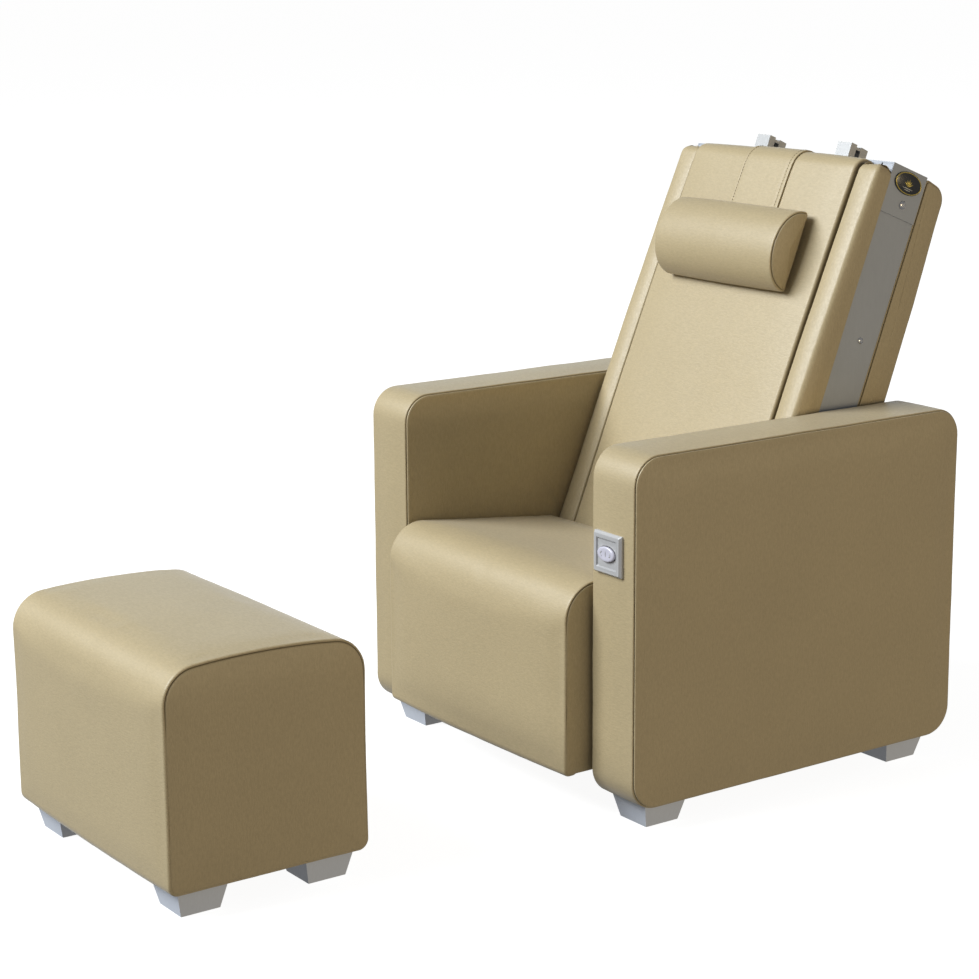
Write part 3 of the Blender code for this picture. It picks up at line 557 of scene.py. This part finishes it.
def dress(pieces, body, slot, *stand_for):
    """Puts pieces on a body and hides the CAD nodes that they stand for. The finish slot is not used."""
    for piece in pieces:
        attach(piece, body)
    for piece, nodes in zip(pieces, stand_for):
        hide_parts(*([nodes] if isinstance(nodes, str) else nodes))


# ---------------------------------------------------------------- arms

ARM_CORNER = 0.050
ARM_ROLL = 0.0070
ARM_SEAM_TURN = 38
ARM_PUFFS = (0.0008, 0.0018)
ARM_CROWN = 0.0008
ARM_SPREAD = 0.0015
ARM_SPREAD_OUT = 0.0075
for side, sign in (("left", 1), ("right", -1)):
    low, high = span(f"arm_{side}_band")
    across = sorted(value[0] for panel in ("outer", "inner")
                    for value in span(f"arm_{side}_{panel}_panel"))
    corners = [(low[1], low[2]), (high[1], low[2]), (high[1], high[2]), (low[1], high[2])]
    points = outline(corners, [ARM_CORNER] * 4)
    near, far = ("inner", "outer") if sign > 0 else ("outer", "inner")
    nodes = [f"arm_{side}_band", f"arm_{side}_{near}_panel", f"arm_{side}_{far}_panel"]
    puffs = ARM_PUFFS[::sign]
    spread = (ARM_SPREAD, ARM_SPREAD_OUT)[::sign]
    names = [f"arm_{side}_band_cover", f"arm_{side}_{near}_cover", f"arm_{side}_{far}_cover"]
    pieces = boxed(names, points, across[0] - spread[0], across[-1] + spread[1], ARM_ROLL, ARM_SEAM_TURN,
                   puffs, ARM_CROWN)
    dress(pieces, "base", "vinyl", *nodes)

# ---------------------------------------------------------------- seat

SEAT_ROLL = 0.0055
SEAT_SEAM_TURN = 72
SEAT_PUFFS = (0.0006, 0.0006)
SEAT_CROWN = 0.0035
SEAT_SEAM_LEVEL = 0.315
SEAT_CORNER = 0.065
SEAT_SLOPE = -0.1124
SEAT_FRONT_TOP = 0.4182
SEAT_PADDING = 0.080
SEAT_EDGE = 0.012
SEAT_REAR_CORNER = 0.013
APRON = 0.030
OVERLAY_T = -0.0925
SEAT_CLEARANCE = 0.0048
seat_low = span("seat_cushion")[0]
seat_front, seat_bottom = seat_low[1], seat_low[2]
seat_half = span("seat_panel_left")[1][0]


def behind_seat(up):
    """A point up the backrest, just in front of its cushions, in Y and Z."""
    point = BACK @ Vector((0, OVERLAY_T - SEAT_CLEARANCE, up))
    return point.y, point.z


foot_of_back = behind_seat(0.0)
rise = SEAT_FRONT_TOP + SEAT_SLOPE * (foot_of_back[0] - seat_front) - foot_of_back[1]
seat_up = rise / (math.cos(LEAN) - SEAT_SLOPE * math.sin(LEAN))
top_rear = behind_seat(seat_up)
low_rear = behind_seat(seat_up - SEAT_PADDING)
apron_back = seat_front + APRON
under_front = low_rear[1] + SEAT_SLOPE * (apron_back - low_rear[0])
corners = [(seat_front, seat_bottom), (seat_front, SEAT_FRONT_TOP), top_rear, low_rear,
           (apron_back, under_front), (apron_back, seat_bottom)]
radii = [SEAT_EDGE, SEAT_CORNER, SEAT_REAR_CORNER, SEAT_EDGE, SEAT_EDGE, SEAT_EDGE]
seat_points = outline(corners, radii)
side_points = outline(corners[:3] + [(low_rear[0], seat_bottom)], radii[:4])
pieces = boxed(["seat_cover", "seat_right_cover", "seat_left_cover"], seat_points, -seat_half, seat_half,
               SEAT_ROLL, SEAT_SEAM_TURN, SEAT_PUFFS, SEAT_CROWN, FLAT, side_points,
               fading_below(SEAT_SEAM_LEVEL))
dress(pieces, "base", "vinyl", "seat_cushion", "seat_panel_right", "seat_panel_left")

# ---------------------------------------------------------------- ottoman

OTTOMAN_ROLL = 0.0050
OTTOMAN_SEAM_TURN = 84
OTTOMAN_PUFFS = (0.0035, 0.0035)
OTTOMAN_CROWN = 0.0025
OTTOMAN_SEAM_LEVEL = 0.295
OTTOMAN_TOP = 0.4065
CROWN_AT = -0.020
CROWN_FALL = 0.34
low, high = span("ottoman_panel_left")
middle = (low[1] + high[1]) / 2
depth = (high[1] - low[1]) / 2
across = [-depth] + list(np.linspace(-depth + 0.080, depth - 0.085, 11)) + [depth]
corners = [(-depth, low[2])] + [(y, OTTOMAN_TOP - CROWN_FALL * (y - CROWN_AT) ** 2) for y in across]
corners = [(middle + y, z) for y, z in corners + [(depth, low[2])]]
points = outline(corners, [0.018, 0.058] + [0.0] * 11 + [0.060, 0.018])
pieces = boxed(["ottoman_cover", "ottoman_right_cover", "ottoman_left_cover"], points,
               span("ottoman_panel_right")[0][0], high[0], OTTOMAN_ROLL, OTTOMAN_SEAM_TURN,
               OTTOMAN_PUFFS, OTTOMAN_CROWN, fade=fading_below(OTTOMAN_SEAM_LEVEL))
dress(pieces, "ottoman", "vinyl", "ottoman_band", "ottoman_panel_right", "ottoman_panel_left")

# ---------------------------------------------------------------- backrest cushions

CUSHION_TOP = 0.765
CUSHION_FALL = 0.0190
OVERLAY_PROUD = (0.0022, 0.0085)
OVERLAY_THICKNESS = 0.0185
OVERLAY_CROWN = 0.0022
CHANNEL_FRONT = -0.030
BACK_BOTTOM = -0.010
BOLSTER_SPREAD = 0.003
BOLSTER_CORNERS = (0.004, 0.009)
BOLSTER_ENDS = (0.005, 0.018)


def overlay_face(up):
    """Distance across the backrest to the overlay's face, which falls back towards the top."""
    return OVERLAY_T + CUSHION_FALL * (up / CUSHION_TOP) ** 2


back_t = CHANNEL_FRONT - 0.0003


def bolster_face(up):
    """Distance across the backrest to a bolster's face, a little behind the overlay's."""
    share = up / CUSHION_TOP
    return overlay_face(up) + OVERLAY_PROUD[0] + (OVERLAY_PROUD[1] - OVERLAY_PROUD[0]) * share


def rounded_box(low, high, face, back, radii, steps=8, between=6):
    """A rounded rectangle, anticlockwise, that always has the same number of points."""
    arcs = rounded([(low, back), (low, face), (high, face), (high, back)], radii, steps)
    points = []
    for i, (a, b) in enumerate(zip(arcs, arcs[1:] + arcs[:1])):
        parts = between if i % (steps + 1) == steps else 1
        points += [(a[0] + (b[0] - a[0]) * k / parts, a[1] + (b[1] - a[1]) * k / parts)
                   for k in range(parts)]
    return np.array(points)


def upright(name, low, high, corners, end_rounds, matrix):
    """A tall cushion as level rings, with rounded front corners and rounded ends."""
    low_round, top_round = end_rounds
    bottom, top = BACK_BOTTOM, CUSHION_TOP
    ends = [1 - math.cos(math.pi / 2 * k / 7) for k in range(8)]
    levels = [bottom + low_round * u for u in ends]
    levels += list(np.linspace(bottom + low_round, top - top_round, 64)[1:-1])
    levels += [top - top_round * u for u in reversed(ends)]
    rings = []
    for up in levels:
        end_round = low_round if up < top / 2 else top_round
        section = rounded_box(low, high, bolster_face(up), back_t, [0.0015, *corners, 0.0015])
        drawn = section + inward(section) * end_shrink(min(up - bottom, top - up), end_round)
        rings.append(np.column_stack((drawn, np.full(len(drawn), up))))
    made = skin(name, rings, "vinyl_side", matrix, [0.0] * len(rings))
    SOFT.append({"pieces": [made], "skin": (rings, matrix), "seams": []})
    return made


for side, sign in (("left", 1), ("right", -1)):
    low, high = span(f"back_bolster_{side}", BACK)
    across = (low[0], high[0] + BOLSTER_SPREAD) if sign > 0 else (low[0] - BOLSTER_SPREAD, high[0])
    piece = upright(f"bolster_{side}_cover", *across, BOLSTER_CORNERS[::sign], BOLSTER_ENDS, BACK)
    dress([piece], "back", "vinyl", f"back_bolster_{side}")

low, high = span("back_rear_cushion", BACK)
rear_t = low[1]
rear = outline([(rear_t, 0.100), (rear_t, high[2]), (0.114, 0.768), (0.122, 0.560), (0.124, 0.300),
                (0.120, 0.100)], [0.010, 0.010, 0.030, 0.300, 0.300, 0.025])
pieces = boxed(["rear_cushion_cover", "rear_cushion_right_cover", "rear_cushion_left_cover"], rear,
               low[0], high[0], 0.0060, 60, (0.0006, 0.0006), 0.0030, BACK)
dress(pieces, "back", "vinyl", "back_rear_cushion")

for node in ("back_pad_top", "back_pad_low"):
    low, high = span(node, BACK)
    pad = outline([(low[1], low[2]), (high[1], low[2]), (high[1], high[2]), (low[1], high[2])],
                  [0.010] * 4)
    piece = cushion(f"{node}_cover", pad, low[0], high[0], 0.006, 0.001, BACK)
    dress([piece], "back", "vinyl", node)


def overlay_path(offset, bottom, top, radius, rear):
    """Points up the overlay's face, over its top edge and back, at an offset outwards from it."""
    count = 46
    corner = overlay_face(top) - offset
    points = [(overlay_face(up) - offset, up) for up in np.linspace(bottom, top - radius, count)]
    start = points[-1][0]
    for k in range(1, 13):
        turn = math.pi / 2 * k / 12
        points.append((start + (corner - start) * k / 12 + radius * (1 - math.cos(turn)),
                       top - radius + radius * math.sin(turn)))
    last = points[-1][0]
    for k in range(1, 5):
        points.append((last + (rear - last) * k / 4, top))
    return points


def end_steps(path, reach=0.006, count=6):
    """Adds points near both ends of a path, so that the ends can be rounded."""
    path = np.array(path)
    along = lengths(path)
    extra = np.array([reach * (k / count) ** 2 for k in range(count + 1)])
    stops = np.unique(np.concatenate((along, extra, along[-1] - extra)))
    return np.column_stack([np.interp(stops, along, path[:, i]) for i in range(2)])


low, high = span("overlay_pad", BACK)
overlay_top = high[2]
half_overlay = high[0]
section = outline([(-half_overlay, 0.0), (half_overlay, 0.0), (half_overlay, OVERLAY_THICKNESS),
                   (-half_overlay, OVERLAY_THICKNESS)],
                  [0.0055, 0.0055, 0.004, 0.004], 0.010)
crown = OVERLAY_CROWN * (section[:, 0] / half_overlay) ** 4
lift = np.where(section[:, 1] < OVERLAY_THICKNESS / 2, crown, 0.0)
section = section + np.column_stack((np.zeros(len(section)), lift))
path = end_steps(overlay_path(0.0, BACK_BOTTOM, overlay_top, 0.030, back_t))
# Painted shade: the overlay's side walls, down in the gap by the bolsters, are given the dark seam
# colour through the seam attribute.
on_side = np.abs(section[:, 0]) > half_overlay - 0.002
painted_gap_shade = np.clip((section[:, 1] - 0.0035) / 0.004, 0, 1) * on_side
overlay = sweep("overlay_cover", path, section, "vinyl", BACK, marks=0.75 * painted_gap_shade)
dress([overlay], "back", "vinyl", "overlay_pad")

STRAP_THICKNESS = 0.0030
STRAP_GAP = 0.0003
STRAP_LOW = 0.545
STITCH_INSET = 0.008
STITCH_PROUD = 0.0001
low, high = span("pillow_strap", BACK)
strap_half = high[0]
strap_offset = STRAP_THICKNESS + STRAP_GAP
strap_top = overlay_top + strap_offset
section = outline([(-strap_half, 0.0), (strap_half, 0.0), (strap_half, STRAP_THICKNESS),
                   (-strap_half, STRAP_THICKNESS)], [0.0012] * 4, 0.004, 4)
stitch_x = strap_half - STITCH_INSET
dip = 0.0006 * np.exp(-((np.abs(section[:, 0]) - stitch_x) / 0.0016) ** 2)
section = section + np.column_stack((np.zeros(len(section)), np.where(section[:, 1] < 0.001, dip, 0)))
path = end_steps(overlay_path(strap_offset, STRAP_LOW, strap_top, 0.0333, CHANNEL_FRONT - 0.001),
                 0.002, 4)
strap = sweep("strap_cover", path, section, "vinyl", BACK, 0.0012)
dress([strap], "back", "vinyl", "pillow_strap")
face_path = overlay_path(strap_offset + STITCH_PROUD, STRAP_LOW + 0.003, strap_top + STITCH_PROUD,
                         0.0334, CHANNEL_FRONT - 0.004)
runs = []
for x in (-stitch_x, stitch_x):
    runs += stitch_runs([(x, t, s) for t, s in face_path])
thread = tubes("strap_stitching", runs, "thread", BACK)
dress([thread], "back", "vinyl")

# ---------------------------------------------------------------- pillow

PILLOW_DEPTH = 0.061
PILLOW_ROLL = 0.0055
PILLOW_PUFFS = (0.0050, 0.0050)
low, high = span("head_pillow", BACK)
centre_s = (low[2] + high[2]) / 2
half_s = (high[2] - low[2]) / 2
back_of_pillow = high[1]
count = 28
front = [(back_of_pillow - PILLOW_DEPTH * math.sin(math.pi * k / count) ** 0.92,
          centre_s + half_s * math.cos(math.pi * k / count)) for k in range(count + 1)]
pillow_points = outline(front, [PILLOW_ROLL] + [0.0] * (count - 1) + [PILLOW_ROLL], 0.006)
pieces = boxed(["pillow_cover", "pillow_right_cover", "pillow_left_cover"], pillow_points, low[0],
               high[0], PILLOW_ROLL, 60, PILLOW_PUFFS, 0.0012, BACK)
dress(pieces, "pillow", "vinyl", "head_pillow")

# ---------------------------------------------------------------- padding, simulated as cloth

FRAMES = 20


CLOTH = {"quality": 5, "mass": 0.35, "tension_stiffness": 20, "compression_stiffness": 20,
         "shear_stiffness": 8, "bending_stiffness": 2, "use_pressure": True}


def points_of(mesh, what="co"):
    """A mesh's points, or their normals, as an array."""
    values = np.empty(len(mesh.vertices) * 3, np.float32)
    mesh.vertices.foreach_get(what, values)
    return values.reshape(-1, 3).astype(float)


def move_points(mesh, points):
    """Puts a mesh's points at new places."""
    mesh.vertices.foreach_set("co", points.astype(np.float32).ravel())
    mesh.update()


def tree_of(points):
    """A tree that finds the nearest of some points."""
    tree = kdtree.KDTree(len(points))
    for i, point in enumerate(points):
        tree.insert(point, i)
    tree.balance()
    return tree


def copy_of(piece):
    """A copy of a piece, with a mesh of its own."""
    made = piece.copy()
    made.data = piece.data.copy()
    bpy.context.scene.collection.objects.link(made)
    return made


def inflate(proxy, matrix, seams, held, voxel, pressure, cap):
    """Blows a closed shape up as cloth, held at its seams and where it rests. Uses the shape up, and
    returns how its surface moved: its points and their shifts."""
    remesh = proxy.modifiers.new("remesh", "REMESH")
    remesh.mode = "VOXEL"
    remesh.voxel_size = voxel
    graph = bpy.context.evaluated_depsgraph_get()
    mesh = bpy.data.meshes.new_from_object(proxy.evaluated_get(graph))
    proxy.modifiers.clear()
    proxy.data = mesh
    rest = points_of(mesh)
    inside = np.array(matrix.inverted())
    local = rest @ inside[:3, :3].T + inside[:3, 3]
    weights = np.clip(held(local), 0.0, 1.0)
    if seams:
        tree = tree_of(seams)
        near = np.array([tree.find(p)[2] for p in rest])
        weights = np.maximum(weights, np.clip(1.5 - near / voxel / 0.9, 0.0, 1.0))
    pins = proxy.vertex_groups.new(name="held")
    for i in np.nonzero(weights > 0.02)[0]:
        pins.add([int(i)], float(weights[i]), "REPLACE")
    cloth = proxy.modifiers.new("cloth", "CLOTH")
    for setting, value in CLOTH.items():
        setattr(cloth.settings, setting, value)
    cloth.settings.uniform_pressure_force = pressure
    cloth.settings.effector_weights.gravity = 0
    cloth.settings.vertex_group_mass = "held"
    cloth.point_cache.frame_start = 1
    cloth.point_cache.frame_end = FRAMES
    scene = bpy.context.scene
    for number in range(1, FRAMES + 1):
        scene.frame_set(number)
    graph = bpy.context.evaluated_depsgraph_get()
    moved = points_of(proxy.evaluated_get(graph).data)
    scene.frame_set(1)
    bpy.data.objects.remove(proxy)
    shift = moved - rest
    length = np.linalg.norm(shift, axis=1, keepdims=True)
    shift *= cap * np.tanh(length / cap) / np.maximum(length, 1e-9)
    return rest, shift


def follow(pieces, rest, shift):
    """Moves the points of pieces as the simulated surface nearest to them moved."""
    tree = tree_of(rest)
    for piece in pieces:
        points = points_of(piece.data)
        for i, point in enumerate(points):
            found = tree.find_n(point, 4)
            share = np.array([1 / (distance * distance + 1e-7) for _, _, distance in found])
            near = shift[[index for _, index, _ in found]]
            points[i] += (near * share[:, None]).sum(0) / share.sum()
        move_points(piece.data, points)


def unevenness(pieces, amount, pucker):
    """Slight hollows and finer puckers over a cushion, fading out at its seams and where the seam
    attribute paints gap shade.
    """
    for piece in pieces:
        points = points_of(piece.data)
        normals = points_of(piece.data, "normal")
        marks = np.zeros(len(points), np.float32)
        if "seam" in piece.data.attributes:
            piece.data.attributes["seam"].data.foreach_get("value", marks)
        for i, (point, normal) in enumerate(zip(points, normals)):
            here = Vector(point)
            broad = noise.noise(here * 9.0) + 0.5 * noise.noise(here * 21.0 + Vector((7, 3, 5)))
            fine = noise.noise(here * 60.0 + Vector((1, 9, 4)))
            points[i] += normal * (1 - marks[i]) * (amount * broad + pucker * fine)
        move_points(piece.data, points)


def never(local):
    """Nothing is held apart from the seams."""
    return np.zeros(len(local))


def below(level, axis=2, fade=0.015):
    """Holds what lies below a level along an axis, fading out above it."""
    return lambda local: 1 + (level - local[:, axis]) / fade


def above(level, axis, fade=0.006):
    """Holds what lies above a level along an axis, fading out below it."""
    return lambda local: 1 + (local[:, axis] - level) / fade


def seat_held(local):
    """Holds the seat's lower part, and its rear, which the backrest passes."""
    return np.maximum(below(0.100)(local), above(foot_of_back[0] - 0.025, 1)(local))


def overlay_held(local):
    """Holds the overlay's rear, its foot and its two long edges."""
    ends = np.maximum(above(-0.045, 1, 0.004)(local), below(0.020, 2, 0.040)(local))
    return np.maximum(ends, (np.abs(local[:, 0]) - half_overlay + 0.020) / 0.012)


PADDING = {
    "arm_left_band_cover": (below(0.060), 0.011, 3.5, 0.0030),
    "arm_right_band_cover": (below(0.060), 0.011, 3.5, 0.0030),
    "seat_cover": (seat_held, 0.009, 4.0, 0.0028),
    "ottoman_cover": (below(0.062), 0.009, 4.0, 0.0028),
    "bolster_left_cover": (above(back_t - 0.012, 1), 0.006, 4.0, 0.0022),
    "bolster_right_cover": (above(back_t - 0.012, 1), 0.006, 4.0, 0.0022),
    "rear_cushion_cover": (below(rear_t + 0.008, 1), 0.008, 4.0, 0.0040),
    "pillow_cover": (above(back_of_pillow - 0.008, 1), 0.006, 4.0, 0.0040),
}
for group in SOFT:
    held, voxel, pressure, cap = PADDING.get(group["pieces"][0].name, (never, 0.008, 3.0, 0.0015))
    shape, matrix = group["skin"]
    proxy = skin("padding_proxy", shape, None, matrix)
    follow(group["pieces"], *inflate(proxy, matrix, group["seams"], held, voxel, pressure, cap))
    unevenness(group["pieces"], 0.0006, 0.00016)
moved = inflate(copy_of(overlay), BACK, [], overlay_held, 0.007, 4.0, 0.0035)
follow([overlay, strap, thread], *moved)
unevenness([overlay], 0.0005, 0.00014)

# ---------------------------------------------------------------- badge and switch

BADGE_DOME = ((1.0, 0.0), (1.0, 0.0016), (0.985, 0.0021), (0.90, 0.0024), (0.70, 0.0029),
              (0.40, 0.0033), (0.10, 0.0034))
ROCKER_DISH = ((1.0, 0.0022), (0.96, 0.0010), (0.86, 0.0003), (0.62, 0.0004), (0.30, 0.0009),
               (0.05, 0.0010))


def oval(half_width, half_height, count=48):
    """Points of an ellipse."""
    return [(half_width * math.cos(math.tau * k / count), half_height * math.sin(math.tau * k / count))
            for k in range(count)]


low, high = span("badge", BACK)
badge_t, badge_s = (low[1] + high[1]) / 2, (low[2] + high[2]) / 2
badge_w, badge_h = (high[1] - low[1]) / 2, (high[2] - low[2]) / 2
rings = []
for share, height in BADGE_DOME:
    rings.append([(low[0] + height, badge_t + t, badge_s + s)
                  for t, s in oval(badge_w * share, badge_h * share)])
face = skin("badge_face", rings, "badge_black", BACK)
dress([face], "back", "badge_black", "badge")
ring_run = [(low[0] + 0.0022, badge_t + t, badge_s + s)
            for t, s in oval(badge_w * 0.94, badge_h * 0.91)]
rim = tubes("badge_rim", [(ring_run, [0.0011] * len(ring_run))], "badge_gold", BACK, 8, True)
dress([rim], "back", "badge_black")


def leaf(centre, angle, length, width, height):
    """A pointed leaf on the badge's face, as a run of a thin bar."""
    run = []
    radii = []
    for k in range(9):
        share = k / 8
        run.append((height, centre[0] + math.cos(angle) * length * share,
                    centre[1] + math.sin(angle) * length * share))
        radii.append(width * math.sin(math.pi * min(max(share, 0.05), 0.97)) ** 0.8 + 0.0001)
    return run, radii


runs = [leaf((badge_t, badge_s - 0.006), math.radians(a), 0.0135 if a == 90 else 0.0125, 0.0016,
             low[0] + 0.0031) for a in (90, 62, 118, 34, 146)]
emblem = tubes("badge_emblem", runs, "badge_gold", BACK)
dress([emblem], "back", "badge_black")
runs = [([(low[0] + 0.0030, badge_t + x, badge_s - 0.0090) for x in (-0.013, -0.006, 0.006, 0.013)],
         (0.0003, 0.0008, 0.0008, 0.0003)),
        ([(low[0] + 0.0028, badge_t + x, badge_s - 0.0122) for x in (-0.008, -0.004, 0.004, 0.008)],
         (0.0003, 0.0007, 0.0007, 0.0003))]
bars = tubes("badge_lines", runs, "badge_pale", BACK)
dress([bars], "back", "badge_black")

low, high = span("switch_rocker")
rocker_x, rocker_z = (low[0] + high[0]) / 2, (low[2] + high[2]) / 2
rocker_w, rocker_h = (high[0] - low[0]) / 2, (high[2] - low[2]) / 2
rings = []
for share, y in ((1.0, high[1] - 0.0025), *((share, low[1] + depth) for share, depth in ROCKER_DISH)):
    rings.append([(rocker_x + x, y, rocker_z + z)
                  for x, z in oval(rocker_w * share, rocker_h * share)])
rocker = skin("rocker_cover", rings, "rocker_white")
dress([rocker], "rocker", "rocker_white", "switch_rocker")
runs = []
for sign in (-1, 1):
    tip = (rocker_x + sign * 0.0135, low[1] + 0.0004, rocker_z)
    for up in (-1, 1):
        run = [(tip[0] - sign * 0.0045, tip[1], tip[2] + up * 0.0042),
               (tip[0] - sign * 0.002, tip[1], tip[2] + up * 0.002), tip]
        runs.append((run, (0.0004, 0.0007, 0.0007)))
runs.append(([(rocker_x, low[1] + 0.0008, rocker_z + z) for z in (-0.006, -0.002, 0.002, 0.006)],
             (0.0003, 0.0007, 0.0007, 0.0003)))
marks = tubes("rocker_marks", runs, "plate_grey")
dress([marks], "rocker", "rocker_white")

# ---------------------------------------------------------------- CAD parts that stay

FINISHES = {
    "foot_grey": ("foot_", "ottoman_foot_"),
    "frame_black": ("frame_", "hinge_"),
    "plywood": ("seat_deck",),
    "plate_grey": ("switch_plate",),
    "rail_light": ("guide_rail",),
    "steel_grey": ("side_channel", "top_cap", "back_bar", "carriage_frame"),
    "bright_steel": ("actuator_rod", "cap_bolt", "channel_bolt", "recline_lever", "lift_screw",
                     "knead_shaft"),
    "black_plastic": ("actuator_body", "power_inlet", "lift_motor", "knead_motor", "massage_head"),
}
BEVELS = {
    0.0020: ("foot_", "ottoman_foot_", "lift_motor", "knead_motor", "massage_head"),
    0.0015: ("actuator_body",),
    0.0012: ("guide_rail",),
    0.0010: ("frame_", "seat_deck", "power_inlet"),
    0.0008: ("hinge_", "back_bar"),
    0.0006: ("side_channel",),
    0.0005: ("top_cap", "switch_plate"),
}
for name, node in NODES.items():
    if node.hide_render:
        continue
    for finish, starts in FINISHES.items():
        if name.startswith(starts):
            for slot in node.material_slots:
                slot.material = MATERIALS[finish]
    for width, starts in BEVELS.items():
        if name.startswith(starts):
            bevel = node.modifiers.new("edges", "BEVEL")
            bevel.width = width
            bevel.segments = 3
            bevel.limit_method = "ANGLE"
            bevel.angle_limit = math.radians(30)
            bevel.harden_normals = True

# ---------------------------------------------------------------- floor, light and camera

# The floor gives off light, and the world is white to the camera but dim as a light, so that both
# come out as white as the photo's background.
FLOOR_REACH = 150.0
AMBIENT = 0.22
AIM = Vector((0, 0, 0.5))
floor_made, floor_tree, floor_shader, floor_add = nodes_of("studio_floor")
speck = floor_add("ShaderNodeTexNoise", {"Scale": 3.0, "Detail": 2.0})
floor_tree.links.new(ramp(floor_add, speck.outputs["Fac"], ((0.3, 0.26), (0.7, 0.28))),
                     floor_shader.inputs["Base Color"])
floor_shader.inputs["Roughness"].default_value = 0.9
floor_shader.inputs["Specular IOR Level"].default_value = 0.0
floor_shader.inputs["Emission Color"].default_value = (1.0, 1.0, 1.0, 1)
floor_shader.inputs["Emission Strength"].default_value = 0.93
mesh = bpy.data.meshes.new("studio_floor")
corners = [(FLOOR_REACH * x, FLOOR_REACH * y, 0) for x, y in ((-1, -1), (1, -1), (1, 1), (-1, 1))]
mesh.from_pydata(corners, [], [(0, 1, 2, 3)])
mesh.materials.append(floor_made)
floor = bpy.data.objects.new("studio_floor", mesh)
bpy.context.scene.collection.objects.link(floor)
floor.visible_diffuse = False
floor.visible_glossy = False
floor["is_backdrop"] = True

world = bpy.data.worlds.new("studio")
bpy.context.scene.world = world
world.use_nodes = True
background = world.node_tree.nodes["Background"]
background.inputs["Color"].default_value = (1.0, 0.995, 0.985, 1)
seen = world.node_tree.nodes.new("ShaderNodeLightPath").outputs["Is Camera Ray"]
strength = world.node_tree.nodes.new("ShaderNodeMath")
strength.operation = "MULTIPLY_ADD"
strength.inputs[1].default_value = 1.0 - AMBIENT
strength.inputs[2].default_value = AMBIENT
world.node_tree.links.new(seen, strength.inputs[0])
world.node_tree.links.new(strength.outputs[0], background.inputs["Strength"])
bpy.context.scene.view_settings.view_transform = "Standard"


def area_light(name, place, size, energy, colour):
    """A soft rectangular light that faces the chair."""
    data = bpy.data.lights.new(name, "AREA")
    data.shape = "RECTANGLE"
    data.size, data.size_y = size
    data.energy = energy
    data.color = colour
    lamp = bpy.data.objects.new(name, data)
    lamp.location = place
    lamp.rotation_mode = "QUATERNION"
    lamp.rotation_quaternion = (AIM - Vector(place)).to_track_quat("-Z", "Y")
    bpy.context.scene.collection.objects.link(lamp)


area_light("key", (-3.5, -7.4, 7.0), (7.0, 5.0), 1680, (0.93, 0.97, 1.0))
area_light("rim", (-8.0, 5.6, 2.6), (9.0, 4.0), 72, (0.76, 0.90, 1.0))
area_light("side", (9.6, 2.5, 0.9), (9.0, 1.6), 255, (1.0, 0.80, 0.49))

AZIMUTH, ELEVATION, ROLL = 0.957061, 0.218214, -0.0062496
FOCAL_PIXELS, PICTURE, SENSOR = 2405.276, 979, 36.0
CENTRE_X, CENTRE_Y = 488.415, 474.895
back_axis = Vector((math.sin(AZIMUTH) * math.cos(ELEVATION),
                    -math.cos(AZIMUTH) * math.cos(ELEVATION), math.sin(ELEVATION)))
right_axis = (-back_axis).cross(Vector((0, 0, 1))).normalized()
up_axis = right_axis.cross(-back_axis)
turned_right = math.cos(ROLL) * right_axis + math.sin(ROLL) * up_axis
turned_up = math.cos(ROLL) * up_axis - math.sin(ROLL) * right_axis
data = bpy.data.cameras.new("camera")
camera = bpy.data.objects.new("camera", data)
bpy.context.scene.collection.objects.link(camera)
camera.matrix_world = Matrix.Translation((3.31666, -2.35200, 1.44573)) @ Matrix(
    (turned_right, turned_up, back_axis)).transposed().to_4x4()
data.sensor_width = SENSOR
data.lens = FOCAL_PIXELS * SENSOR / PICTURE
data.shift_x = -(CENTRE_X - PICTURE / 2) / PICTURE
data.shift_y = (CENTRE_Y - PICTURE / 2) / PICTURE
data.clip_end = 200.0
bpy.context.scene.camera = camera

low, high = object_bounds()
